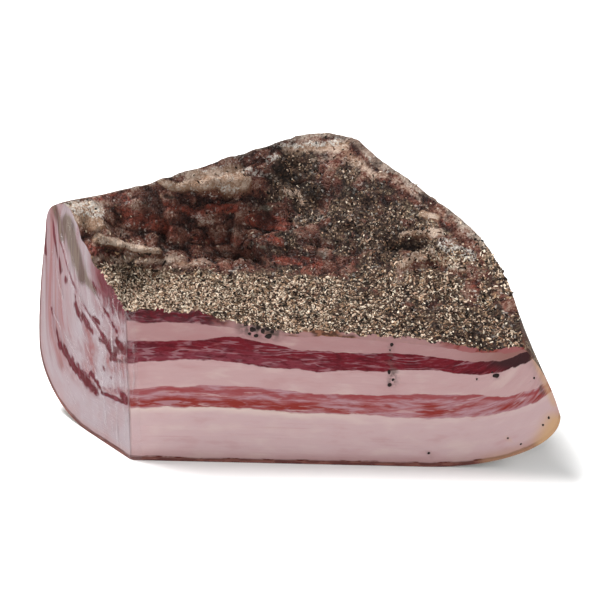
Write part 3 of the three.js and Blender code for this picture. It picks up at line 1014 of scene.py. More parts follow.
@dataclass(frozen=True)
class CrustFinish:
    """Dried lean under the pepper: red-brown lumps, with fat folds, grey-green bloom and dust; painted shade
    in crevices, hollows and under folds, paler lump tops, painted glare and glints, and a painted highlight
    along the rim.
    """

    lean: Colour = shade(58, 31, 26)
    lean_warm: Colour = shade(92, 55, 44)
    lean_pale: Colour = shade(130, 107, 95)
    lean_dark: Colour = shade(28, 16, 14)
    red: Colour = shade(108, 50, 38)
    red_dark: Colour = shade(56, 31, 27)
    raw: Colour = shade(146, 84, 78)
    fat: Colour = shade(170, 150, 135)
    fat_amber: Colour = shade(130, 103, 84)
    # The undersides of the fat folds, painted as shade.
    fat_under: Colour = shade(98, 66, 48)
    # The rim band's colours: a painted highlight along the back rim.
    rim: Colour = shade(122, 105, 94)
    rim_highlight: Colour = shade(176, 164, 151)
    bloom: Colour = shade(96, 90, 79)
    # The colour of the painted glare and painted glints.
    pale: Colour = shade(182, 175, 167)
    # Near black, painted as shade in crevices and cavities.
    crevice_shade_colour: Colour = shade(12, 7, 6)

    def material(self) -> Material:
        """Builds the material.

        Returns:
            The finished material.
        """
        recipe = Recipe("peppered_crust")
        lump, crevice, top, redness = (recipe.attribute(name) for name in ("lump", "crevice", "top", "red"))
        broad, fine = recipe.noise(8, 4, 0.65), recipe.noise(0.7, 3, 0.65)
        knots = recipe.noise((2.2, 1.8, 1.8), 3, 0.65, 0.4)
        fleck, knot = fine - 0.5, knots - 0.5
        grit, gap = recipe.grit(0.75), recipe.cells(0.75)
        breakup = knot * 0.9 + (broad - 0.5) * 0.5 + (lump - 0.5) * 0.3 + fleck * 0.6
        red = recipe.coats(
            recipe.blend((knots + fleck * 0.6).between(0.34, 0.56), self.red_dark, self.red),
            (redness.between(1.05, 1.3) * knots.between(0.42, 0.56) * 0.7, self.raw),
        )
        dusted = (recipe.attribute("dust") + breakup * 0.6).between(0.25, 0.5)
        pepper = pepper_dust(recipe, grit * 0.6 + recipe.attribute("tint") * 0.5)
        fat_share = (recipe.attribute("fat") + breakup * 0.5).between(0.15, 0.6)
        fat = recipe.coats(
            recipe.blend((broad + knot * 0.8 + fleck * 0.5).between(0.36, 0.66), self.fat_amber, self.fat),
            # Painted shade on the underside of each fat fold.
            ((recipe.attribute("under") + breakup * 0.2).between(0.25, 0.6), self.fat_under),
        )
        # Painted highlight: a paler, silvery band along the back rim.
        rim = (recipe.attribute("rim") + breakup * 0.5).between(0.3, 0.7)
        rim_highlight_colour = recipe.blend((broad + fleck * 0.5).between(0.42, 0.66), self.rim, self.rim_highlight)
        # Painted glare: pale flecks over the marked glare patches.
        glare = (recipe.attribute("pale") + breakup * 0.8).between(0.45, 0.85)
        # Painted glints: tiny pale spots on wet lumps, standing in for sparkle.
        painted_glints = recipe.grit(0.85).between(0.82, 0.9) * recipe.noise(5, 3, 0.6).between(0.4, 0.56)
        painted_glints = painted_glints * fine.between(0.42, 0.56) * knots.between(0.38, 0.5)
        # Painted shade: the marked cavities and the crevices between lumps go towards near black.
        depth = (recipe.attribute("cavity_shade") + breakup * 0.5).between(0.2, 1.0)
        crevice_shade = (crevice + knot * 0.6 + fleck * 0.5).between(0.4, 0.95) * (1 - fat_share * 0.7)
        # Lump tops paler and their crevices darker: painted light and shade on the lumps.
        ground = recipe.ramp(
            broad * 0.34 + knots * 0.22 + lump * 0.16 + top * 0.28 + fleck * 0.6, (0.32, self.lean_dark),
            (0.43, self.lean), (0.54, self.lean_warm), (0.66, self.lean_pale),
        )
        colour = recipe.coats(
            ground,
            ((redness + breakup * 0.9).between(0.3, 0.65) * 0.9, red),
            ((recipe.attribute("bloom") + breakup).between(0.5, 0.8) * 0.75, self.bloom),
            # Dark gaps between the pepper cells: painted shade between grains.
            (dusted * 0.92, recipe.blend(gap.between(0.35, 0.6) * 0.55, pepper, self.lean_dark)),
            (fat_share, fat),
            # Painted highlight along the rim.
            (rim * 0.75 * knots.between(0.3, 0.45), rim_highlight_colour),
            # Painted glare.
            (glare * (grit * 0.6 + fine * 0.6).between(0.4, 0.75) * 0.85, self.pale),
            # Painted glints.
            (painted_glints * 0.55, self.pale),
            # Painted shade in crevices and cavities.
            ((crevice_shade * 0.68).largest(depth * (1 - lump * 0.3) * 0.9), self.crevice_shade_colour),
        )
        height = knots * 0.45 + grit * (1 - gap) * 0.3 + fine * 0.5
        roughness = 0.32 + dusted * 0.4 - glare * 0.08 + fleck * 0.4
        return recipe.dress(colour, roughness, height, 0.0022, Specular_IOR_Level=0.16)


@dataclass(frozen=True)
class PepperFinish:
    """Cracked pepper of one kind, with its own tone on each grain."""

    name: str
    dark: Colour
    middle: Colour
    light: Colour
    rusty: Colour = shade(122, 88, 68)
    greenish: Colour = shade(114, 111, 98)

    def material(self) -> Material:
        """Builds the material.

        Returns:
            The finished material.
        """
        recipe = Recipe(self.name)
        fine, hue = recipe.noise(0.5), recipe.attribute("hue")
        tone = recipe.attribute("tone") + (fine - 0.5) * 0.5
        colour = recipe.coats(
            recipe.ramp(tone, (0.1, self.dark), (0.5, self.middle), (0.9, self.light)),
            (hue.between(0.7, 0.95) * 0.5, self.rusty),
            (hue.between(0.3, 0.1) * 0.5, self.greenish),
        )
        return recipe.dress(colour, 0.5 + fine * 0.2, fine, 0.0002, Specular_IOR_Level=0.07)


@dataclass(frozen=True)
class WrapFinish:
    """Clear wrap drawn tight: nearly unseen but for its shine and its whitish creases, painted as highlights
    with painted shadow beside them.
    """

    # Whitish crease highlights and the darker shadow beside them, both painted.
    crest_highlight: Colour = lit(210, 190, 194)
    crease_shadow: Colour = lit(134, 96, 102)

    def material(self) -> Material:
        """Builds the material.

        Returns:
            The finished material.
        """
        recipe = Recipe("clear_wrap", along_grain=True)
        crease, crease_shadow, strip, lean = (recipe.attribute(name) for name in ("crease", "crease_shadow", "strip", "lean"))
        haze, cloud = recipe.noise((3, 3, 14), 4, 0.6), recipe.noise((10, 10, 16))
        # Opacity of the painted crease highlights and shadows.
        crease_light_and_shade = crease * haze.between(0.36, 0.6) * 0.32 + crease_shadow * haze.between(0.5, 0.7) * 0.17
        misted = cloud.between(0.58, 0.75) * 0.03 + haze.between(0.62, 0.72) * 0.07
        opacity = (crease_light_and_shade + misted + strip * 0.04) * (1 - lean.between(0.0, 0.6) * 0.85)
        colour = recipe.blend((crease_shadow - crease).between(0.0, 0.25), self.crest_highlight, self.crease_shadow)
        return recipe.dress(
            colour, 0.2 + haze * 0.12, haze, 0.0003, Alpha=opacity, Specular_IOR_Level=0.5,
            Coat_Weight=0.4, Coat_Roughness=0.1,
        )


class Slot(Enum):
    """Material slots of a layer, by where its faces look."""

    CUT = 0
    EDGE = 1
    OUTSIDE = 2


def unit_block(sizes: tuple[int, int, int]) -> Mesh:
    """A unit cube from 0 to 1, cut into a grid along each axis.

    Args:
        sizes: Numbers of cells outward, round and upward.

    Returns:
        The mesh.
    """
    shape = bmesh.new()
    bmesh.ops.create_cube(shape, size=1.0, matrix=Matrix.Translation((0.5, 0.5, 0.5)))
    for axis, count in enumerate(sizes):
        edges = [edge for edge in shape.edges if abs(edge.verts[0].co[axis] - edge.verts[1].co[axis]) > 0.5]
        if count > 1:
            bmesh.ops.subdivide_edges(shape, edges=edges, cuts=count - 1, use_grid_fill=True)
    return finished(shape, "block")


def finished(shape: bmesh.types.BMesh, name: str) -> Mesh:
    """Turns a shape into a mesh.

    Args:
        shape: The shape, which is freed.
        name: The mesh's name.

    Returns:
        The mesh.
    """
    mesh = bpy.data.meshes.new(name)
    shape.to_mesh(mesh)
    shape.free()
    return mesh


def read(items: bpy.types.bpy_prop_collection, name: str, width: int = 1, number: type = float) -> Array:
    """Reads one property of many items.

    Args:
        items: Vertices, faces, loops or an attribute's values.
        name: The property.
        width: How many numbers it holds.
        number: The type of its numbers.

    Returns:
        One number, or one row of numbers, for each item.
    """
    values = np.empty(len(items) * width, number)
    items.foreach_get(name, values)
    return values.reshape(-1, width) if width > 1 else values


def write_points(mesh: Mesh, points: Array) -> None:
    """Moves a mesh's vertices."""
    mesh.vertices.foreach_set("co", points.astype(np.float32).ravel())
    mesh.update()


def smoothed(mesh: Mesh) -> None:
    """Shades all faces smooth."""
    mesh.polygons.foreach_set("use_smooth", np.ones(len(mesh.polygons), bool))


def store(mesh: Mesh, name: str, values: Array) -> None:
    """Stores a number or a vector on each vertex.

    Args:
        mesh: The mesh.
        name: The attribute's name.
        values: One number or one vector for each vertex.
    """
    is_vector = values.ndim == 2
    layer = mesh.attributes.new(name, "FLOAT_VECTOR" if is_vector else "FLOAT", "POINT")
    layer.data.foreach_set("vector" if is_vector else "value", values.astype(np.float32).ravel())


def linked(name: str, data: bpy.types.ID) -> bpy.types.Object:
    """Makes an object of a mesh, light or camera.

    Args:
        name: The object's name.
        data: What it shows.

    Returns:
        The object, in the scene.
    """
    item = bpy.data.objects.new(name, data)
    bpy.context.collection.objects.link(item)
    return item


def place_piece(name: str, mesh: Mesh, replaced: tuple[str, ...] = ()) -> bpy.types.Object:
    """Makes a mesh a piece of the block.

    Args:
        name: The piece's name.
        mesh: Its finished mesh.
        replaced: Solids that the piece stands for.

    Returns:
        The piece.
    """
    mesh.name = name
    piece = linked(name, mesh)
    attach(piece, BODY)
    if replaced:
        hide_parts(*replaced)
    LOG.info("%s: %d faces", name, len(mesh.polygons))
    return piece


FRONT_DIRT = marks(
    (39, 51.5, 48, 50, 5.2, 1.0), (86, 46, 85.5, 31, 1.5, 0.4), (120, 35, 121, 35, 2, 0.5),
    (87, 36, 86.4, 31.5, 2.4, 0.9), (99, 5.4, 99.5, 5.4, 1.4, 0.4), (134.8, 31.5, 135.6, 29.5, 1.6, 0.8),
    (133, 40, 136.5, 34, 4, 0.35),
)
FRONT_AMBER = marks(
    (140, 18.5, 136.5, 10, 5.8, 0.95), (137, 9, 118, 2.5, 3.0, 0.5), (124.9, 11.8, 125, 11.8, 1.2, 0.6),
    (132.5, 42, 139.5, 25, 1.8, 0.6),
)
LEFT_LEAN = marks(
    (37.5, 27.5, 31, 23.5, 3.2), (31, 23.5, 25, 20.5, 4.4), (25, 20.5, 19, 18.5, 3.8),
    (21, 24.5, 16, 20.5, 1.7), (15, 19.3, 3, 21, 1.5), (3, 23, 0, 22.5, 3.2, 1.2), (28, 47.5, 24, 43, 1.9),
    (24, 43, 21, 41, 1.9), (21, 41.3, 13, 39.3, 1.0, 0.9), (13, 41.5, 8, 36, 2.4, 1.2),
    (4.8, 42.6, 0, 41, 2.8, 1.3), (9.5, 35, 6, 38, 1.6), (40, 77, 35.5, 57, 0.9, 0.9),
    (35.5, 57, 28, 50.5, 1.0, 0.9), (18.5, 61, 12, 52.5, 0.9, 0.9), (12, 52.5, 4.6, 46, 0.9, 0.85),
    (18.5, 46.5, 15, 45.8, 1.3, 0.9), (42, 40, 38.5, 28, 1.4, 0.7), (43, 76, 44, 60, 1.1, 0.8),
    (16, 31, 9, 27, 0.9, 0.6),
)
LEFT_GREEN = marks(
    (30, 76, 24, 60, 6, 1.2), (25, 62, 17, 57, 3.5, 0.8), (37, 80, 34, 70, 3, 0.8),
)


@dataclass
class Layer:
    """One layer of the block, a closed solid between two borders."""

    name: str
    node: str
    slot: str
    index: int
    outside: Material
    cut: Material
    edge: Material
    round_cells: int = 72
    out_cells: int = 160
    up_cells: int = 8
    corner_share: float = 0.003
    thinnest: float = 1.5
    grain_radius: float = 60.0
    crease_angle: float = 50.0

    def mesh(self) -> Mesh:
        """Builds the layer's mesh with its band and grain stored on it.

        Returns:
            The mesh.
        """
        mesh = unit_block((self.out_cells, self.round_cells, self.up_cells))
        self.mark_faces(mesh)
        unit = read(mesh.vertices, "co", 3)
        share = self.corner_share + (1 - self.corner_share) * unit[:, 0]
        bearing, up = FORM.left_cut * unit[:, 1] ** FORM.turn_crowding, unit[:, 2]
        low, high = (FORM.border(index, bearing, share) for index in (self.index, self.index + 1))
        level = low + (high - low) * up
        folded = self.folded(up)
        points = FORM.point(bearing, share, level, folded, self.crags(share, bearing) * folded)
        write_points(mesh, FORM.to_frame(points))
        rind, crust = (FORM.point(bearing, share, np.full_like(share, side), 0.0) for side in (0, 1))
        depth = np.linalg.norm(crust - rind, axis=1)
        out = np.hypot(points[:, 0], points[:, 1])
        store(mesh, "band", self.index + up)
        store(mesh, "thick", np.maximum((high - low) * depth, self.thinnest))
        store(mesh, "round", bearing / FORM.left_cut)
        store(mesh, "grain", np.stack([out, np.radians(bearing) * self.grain_radius, level * depth], axis=1))
        on_front = points[:, 1] < 0.5
        for name, stains, where in (
            ("halo", FRONT_DIRT, on_front), ("amber", FRONT_AMBER, on_front), ("lean", LEFT_LEAN, ~on_front),
            ("green", LEFT_GREEN, ~on_front),
        ):
            store(mesh, name, strongest(stains, out, points[:, 2]) * where)
        self.extra_marks(mesh, share, bearing, points)
        return mesh

    def crags(self, share: Array, bearing: Array) -> Array:
        """Fine relief of the crust in millimetres over each vertex; bands have none."""
        return np.zeros_like(share)

    def folded(self, up: Array) -> Array:
        """How much of the crust's folds each vertex follows: none in the bands."""
        return np.zeros_like(up)

    def extra_marks(self, mesh: Mesh, share: Array, bearing: Array, points: Array) -> None:
        """Stores what only some layers need; bands need nothing."""

    def mark_faces(self, mesh: Mesh) -> None:
        """Gives each face its slot.

        Args:
            mesh: The mesh while it is still a unit block.
        """
        centres = read(mesh.polygons, "center", 3)
        slots = np.full(len(centres), Slot.CUT.value, np.int32)
        slots[(centres[:, 0] > 1 - HAIR) | self.hidden_faces(centres)] = Slot.EDGE.value
        slots[self.outside_faces(centres)] = Slot.OUTSIDE.value
        mesh.polygons.foreach_set("material_index", slots)
        smoothed(mesh)

    def hidden_faces(self, centres: Array) -> Array:
        """Which faces lie on a border, hidden but for a hair at the natural edge."""
        return (centres[:, 0] > 0.8) & (np.abs(centres[:, 2] - 0.5) > 0.5 - HAIR)

    def outside_faces(self, centres: Array) -> Array:
        """Which faces are rind or crust."""
        return (centres[:, 2] < HAIR) & (self.index == 0)

    def build(self) -> bpy.types.Object:
        """Builds and dresses the layer.

        Returns:
            The piece.
        """
        mesh = self.mesh()
        for material in (self.cut, self.edge, self.outside):
            mesh.materials.append(material)
        mesh.set_sharp_from_angle(angle=math.radians(self.crease_angle))
        return place_piece(self.name, mesh, (self.node,))


@dataclass
class Crust(Layer):
    """The peppered top: folds, hollows and crags, with fat, bloom and dust marked on it."""

    round_cells: int = 250
    up_cells: int = 3
    shelf_depth: float = 36.0
    large_lump: tuple[float, float, float] = (8.6, 6.4, 5.6)
    small_lump: tuple[float, float, float] = (3.4, 2.6, 2.3)
    fat_folds: tuple[Mark, ...] = marks(
        (10, 92.5, 18, 90.3, 2.8, 2.2), (18, 90.3, 27, 91.3, 4.2, 3.4), (27, 91.7, 37, 92.6, 5, 3),
        (-10, 73.7, -2.3, 71, 2.7, 2.4), (-2.3, 71, 9, 69.3, 2.2, 1.8), (90.3, 73.7, 103.3, 75.7, 2, 2.6),
        (89.3, 64, 94.7, 66.7, 2.2, 1.5), (94.7, 66.7, 100.3, 67.7, 2, 2.2),
        (100.3, 67.7, 110, 62.7, 1.8, 2.2), (97.7, 82.7, 101.7, 80.7, 2.2, 1), (-19, 82, -11, 78, 5, 1.8),
    )
    ridges: tuple[Mark, ...] = marks(
        (73, 67, 88, 68.3, 1.7, 1.4), (99.7, 61.3, 104.7, 60, 3.3, 1.4), (105, 71, 112, 68, 3.2, 2.4),
        (11.3, 87.7, 19.7, 85.7, 1.3, -2.2), (19.7, 85.7, 35.7, 88.3, 1.3, -2.4),
        (25.7, 84.7, 35.7, 85.3, 2.7, 1.6), (24.7, 81.3, 36.3, 81.7, 1.7, -1.2),
        (87.3, 70, 89.7, 71.3, 2, -2.5), (91.3, 71, 103, 72.3, 1.3, -1.2),
        (91.3, 61.3, 100.3, 64.3, 1.8, -0.8), (100.3, 64.3, 109, 59, 1.8, -0.8),
        (24.7, 70.3, 34.7, 68, 1.7, -1.8), (34.7, 68, 44.3, 65, 1.7, -1.8), (40.3, 85.7, 47, 84.7, 3, 1.4),
        (39.7, 72, 44, 71, 2.3, 1.4), (-4.3, 84.7, 3, 86.3, 3, 1.4), (-0.3, 79.3, 6.3, 78.3, 2.7, 1.2),
        (9.7, 82, 14.7, 78.3, 3, 1.3), (19.7, 79.3, 28, 75, 4, -1.6), (51.3, 93.3, 57.3, 85.7, 2.3, 1.4),
        (69.7, 78.3, 80.3, 81.7, 3, 1.2), (55.7, 73.3, 62.3, 74.7, 2.7, 1.2),
    )
    fat_patches: tuple[Mark, ...] = marks(
        (-12, 66.5, 23, 66, 3.2, 0.45), (23, 65.3, 66.3, 63, 3, 0.14), (19.7, 94.7, 36.3, 97.3, 3, 0.7),
        (60.7, 101, 75.7, 101.3, 2.7, 0.4), (51.7, 92.7, 57.3, 85.7, 2.3, 0.55),
        (-19, 78.7, -17, 77.3, 2.3, 0.8), (19.7, 95.7, 36.3, 98.7, 2.7, 0.5),
        (52.3, 105, 71.3, 105.7, 4.3, 0.62), (71.3, 103.3, 84.7, 95.3, 3, 0.45),
        (84.7, 95.3, 107, 79.3, 2, 0.36), (-17, 85, -10.3, 82.7, 4.7, 0.6),
        (46.3, 97.3, 50.3, 93.3, 2, 0.4),
    )
    bloom_patches: tuple[Mark, ...] = marks(
        (39.7, 72, 44.3, 71, 2.3, 1), (40.3, 85.7, 47, 84.7, 3.3, 0.8), (91.3, 53.3, 96.3, 51.7, 3.3, 0.6),
        (99.7, 46.7, 104.7, 45, 3.3, 0.5), (23, 56.7, 33, 53.3, 4.7, 0.4),
        (66.3, 53.3, 76.3, 50, 5.3, 0.35),
    )
    # Where painted glare lies on the crust.
    glare_patches: tuple[Mark, ...] = marks(
        (37.3, 98, 47, 96, 3.3, 0.8), (45.7, 101, 48.3, 102, 2, 1), (48, 105.7, 68, 107.3, 3, 0.9),
        (104.7, 71.3, 113, 68, 4.0, 1.3), (-21.7, 86, -11, 82, 5.6, 1.35), (28, 91.3, 35.7, 90.7, 2, 0.8),
        (32.7, 62.3, 34, 62, 1.7, 0.9), (84.7, 96.7, 87, 95.7, 1.7, 0.9), (51.3, 81.7, 63, 81.7, 4, 0.6),
        (21.3, 82.7, 28, 79.3, 3.3, 0.55), (56.3, 67.3, 60.3, 70, 2, 0.65), (6.3, 71.3, 13, 70, 1.7, 0.6),
        (23, 97.3, 34.7, 100, 1.3, 0.7), (-5.3, 85, 6.3, 86.7, 2.7, 0.45),
        (9.7, 73.3, 19.7, 71.3, 2, 0.55),
    )
    red_patches: tuple[Mark, ...] = marks(
        (-13, 70.7, -8.3, 67.3, 3.3, 1.6), (-1.3, 81.7, 14.3, 76, 6, 0.66), (-12, 88, -2, 86.7, 3, 0.8),
        (25.7, 85, 35.7, 85.3, 3, 1), (40.3, 80.7, 51, 78.7, 3.7, 1.1), (45.7, 74.7, 50.3, 72.7, 2.7, 1),
        (48.3, 66.7, 62.3, 66, 3.3, 0.95), (56.3, 100.7, 69.7, 99.7, 2.7, 0.5),
        (113, 58.3, 121.3, 56.7, 3.3, 0.5), (121.3, 53.3, 124.7, 46.7, 2.7, 0.45),
        (-7, 66, 23, 66, 3, 0.5), (23, 65, 66.3, 62.3, 3, 0.45), (69.7, 66, 86.3, 65, 3, 0.45),
        (11.3, 85, 23, 83.3, 3.3, 0.55), (18, 75, 36.3, 73.3, 4.7, 0.45), (93, 66, 109.7, 58.3, 4, 0.3),
        (103, 81.7, 106.3, 78.3, 2, 0.6),
    )
    bare_patches: tuple[Mark, ...] = marks(
        (-24.3, 86.7, -13.7, 66, 8.7, 1.1), (4, 66, 66.3, 65.3, 3.4, 0.15),
        (66.3, 65.3, 89.7, 63.3, 3.7, 0.3), (91.3, 68.3, 111.3, 61.7, 6, 0.75),
        (-10.3, 86.7, 31.3, 75, 8, 0.6), (71.3, 103.3, 107, 79.3, 2.3, 0.5), (118, 63, 127, 45, 4.5, 0.7),
    )
    # Where painted shade darkens the crust: hollows, gaps under folds and creases.
    shaded_cavities: tuple[Mark, ...] = marks(
        (48.3, 98.3, 62.3, 88.3, 4.3, 1), (66.3, 95, 71.3, 86.7, 4.7, 0.4),
        (11.3, 87.7, 19.7, 85.7, 1.2, 1), (19.7, 85.7, 35.7, 88.3, 1.2, 1), (24.7, 70, 44.3, 65, 2, 0.85),
        (86.7, 70, 90, 71.3, 2.3, 1.2), (91.3, 71, 103, 72.3, 1.2, 0.8), (18, 78.3, 31.3, 73.3, 6, 0.55),
        (-14.3, 74, -10.3, 75.7, 1.7, 0.8), (122.3, 66, 125.7, 53.3, 2.7, 0.4), (3, 90, 9.7, 90.7, 2, 0.5),
        (51, 69.6, 65, 67.8, 3.2, 0.75), (91.3, 62.3, 100.3, 65, 1, 0.6), (100.3, 65, 109, 59.7, 1, 0.6),
        (-4.3, 76, 6.3, 74.3, 1.7, 0.5), (36.3, 85, 39.7, 81.7, 2, 0.5),
    )

    def unfolded(self, share: Array, bearing: Array) -> Array:
        """Places on the crust before its folds.

        Args:
            share: Share of the way out to the rim, for each vertex.
            bearing: Degrees from the front cut.

        Returns:
            Points in millimetres.
        """
        section, angle = FORM.section(bearing), np.radians(bearing)
        out, height = section["rim"] * share, FORM.crust(section, bearing, share)
        return np.stack([out * np.cos(angle), out * np.sin(angle), height], axis=1)

    def lumps(self, share: Array, bearing: Array) -> tuple[Array, Array, Array]:
        """Rough lumps of two sizes, drawn out sideways.

        Args:
            share: Share of the way out to the rim, for each vertex.
            bearing: Degrees from the front cut.

        Returns:
            Height of the lumps, 0 in crevices to 1, how near a crevice is, and the lumps' own tone.
        """
        place = self.unfolded(share, bearing)
        place += 2.6 * shaken(place, 9, 4, (71, 73, 79))
        large, gap, tone = nearest_lump(place / np.array(self.large_lump), 83)
        small, small_gap, small_tone = nearest_lump(place / np.array(self.small_lump), 89)
        crevice = np.maximum(1 - gap / 0.26, 0.6 * (1 - small_gap / 0.3))
        return large * 0.7 + small * 0.3, np.clip(crevice, 0, 1), tone * 0.6 + small_tone * 0.4

    def crags(self, share: Array, bearing: Array) -> Array:
        """Fine relief: rough lumps and folds, highest on the wall behind the shelf.

        Args:
            share: Share of the way out to the rim, for each vertex.
            bearing: Degrees from the front cut.

        Returns:
            Heights in millimetres.
        """
        place = self.unfolded(share, bearing)
        wall = ease((place[:, 1] - self.shelf_depth + 6) / 12)
        rim = 0.35 + 0.65 * ease((1 - share) / 0.12)
        uneven = octaves(place, 6.5, 4, 11)
        cushions = np.abs(octaves(place * np.array([0.6, 1.1, 1.1]), 8.0, 3, 29)) * 3.6 - 0.7
        lumps = self.lumps(share, bearing)[0] - 0.45
        right, up = seen(FORM.point(bearing, share, np.ones_like(share)))
        ridges = heaped(self.fat_folds + self.ridges, right, up)
        relief = uneven * (0.9 + 0.4 * wall) + cushions * (0.3 + 0.6 * wall) + lumps * (1.3 + 2.2 * wall)
        return (relief * (1 - 0.75 * covered(self.fat_folds, right, up)) + ridges) * rim

    def folded(self, up: Array) -> Array:
        """The crust follows its folds, its root doesn't."""
        return up

    def outside_faces(self, centres: Array) -> Array:
        """The crust's faces that look up."""
        return centres[:, 2] > 1 - HAIR

    def extra_marks(self, mesh: Mesh, share: Array, bearing: Array, points: Array) -> None:
        """Stores fat, bloom, painted glare, cavities for painted shade, fold undersides for painted shade,
        the rim band for a painted highlight, and pepper dust on each vertex.

        Args:
            mesh: The crust's mesh.
            share: Share of the way out to the rim, for each vertex.
            bearing: Degrees from the front cut.
            points: Places in millimetres.
        """
        x, y = points[:, 0], points[:, 1]
        ragged = seen(points + 2.2 * shaken(points, 6, 3, (3, 5, 7)))
        for name, patches in (
            ("bloom", self.bloom_patches), ("pale", self.glare_patches), ("red", self.red_patches),
            ("cavity_shade", self.shaded_cavities),
        ):
            store(mesh, name, strongest(patches, *ragged))
        top = FORM.point(bearing, share, np.ones_like(share))
        right, up = seen(top + 1.3 * shaken(points, 6, 3, (13, 17, 19)))
        folds = covered(self.fat_folds, right, up)
        # Below each fold's line: where its underside takes painted shade.
        below_fold = [fold.share(right, up + 0.3) > fold.share(right, up - 0.3) for fold in self.fat_folds]
        store(mesh, "fat", np.maximum(folds, strongest(self.fat_patches, *ragged)))
        store(mesh, "under", np.max(below_fold, axis=0) * (1 - folds))
        edge = share - 0.02 * octaves(points, 6, 3, 23)
        # Band along the back rim that takes a painted highlight.
        rim = ease((edge - 0.97) / 0.03) * ease((y - 24) / 10) * (0.55 + 0.32 * ease((x - 36) / 12))
        height, crevice, tone = self.lumps(share, bearing)
        # Sunken relief deepens the painted crevice shade.
        sunk_shade = np.clip(-self.crags(share, bearing) * 0.25, 0, 0.4)
        for name, values in (
            ("rim", rim), ("crevice", crevice * 0.8 + sunk_shade), ("lump", tone), ("top", height),
            ("dust", self.dust(points)), ("tint", self.tint(points)),
        ):
            store(mesh, name, values)

    def on_shelf(self, points: Array, past: float, fade: float) -> Array:
        """How far each place lies on the front shelf, which narrows to the right.

        Args:
            points: Places in millimetres.
            past: How far the shelf reaches past its own back edge.
            fade: Width over which it fades out.

        Returns:
            Shares from 0 on the wall behind to 1 on the shelf.
        """
        right, up = seen(points)
        edge = 63.5 - 2 * ease((right - 2) / 12) - 11 * ease((right - 60) / 45)
        return ease((edge + 2.6 * octaves(points, 13, 4, 41) + past - up) / fade + 0.5)

    def tint(self, points: Array) -> Array:
        """How pale the ground pepper is: palest on the shelf's left, dark on the walls.

        Args:
            points: Places in millimetres.

        Returns:
            Shares from 0 for dark to 1 for pale.
        """
        x, shelf = points[:, 0], self.on_shelf(points, 2.5, 6)
        along = 1.05 - 0.5 * ease((x - 12) / 34) - 0.45 * ease((x - 60) / 62)
        wall = 0.2 + 0.36 * ease((x - 82) / 16)
        return np.clip(wall + shelf * (along - wall) + 0.42 * octaves(points, 7, 3, 47), 0, 1)

    def dust(self, points: Array) -> Array:
        """How thickly ground pepper lies: thick on the front shelf, patchy behind it.

        Args:
            points: Places in millimetres.

        Returns:
            Shares from 0 for bare to 1 for thick.
        """
        x, y = points[:, 0], points[:, 1]
        right, up = seen(points)
        thin = ease(octaves(points, 7, 3, 53) * 1.6 - 0.1)
        patchy = ease(octaves(points, 7, 3, 43) * 1.8 + 0.55)
        walls = 0.22 + 0.73 * ease((right - 42) / 10)
        bare = np.clip(strongest(self.bare_patches + self.red_patches, right, up), 0, 1)
        amount = np.maximum(self.on_shelf(points, 0, 6) * (1 - 0.35 * thin), walls * (0.3 + 0.7 * patchy))
        amount = np.maximum(amount, self.on_shelf(points, 4.5, 8) * (0.3 + 0.35 * patchy))
        amount = amount * (1 - 0.95 * covered(self.fat_folds, right, up)) * (1 - 0.9 * bare)
        out = np.hypot(x, y) / FORM.section(np.degrees(np.arctan2(y, x)))["rim"]
        return np.clip(amount * (1 - 0.8 * ease((out - 0.93) / 0.05) * ease((y - 30) / 10)), 0, 1)


@dataclass(frozen=True)
class PepperKind:
    """One kind of cracked pepper: how much of it, how large, where it gathers, and its finish."""

    name: str
    count: int
    smallest: float
    largest: float
    pale_ground: float
    dark_ground: float
    seed: int
    finish: PepperFinish


def unit_length(vectors: Array) -> Array:
    """Vectors drawn to a length of 1."""
    return vectors / np.linalg.norm(vectors, axis=1, keepdims=True)


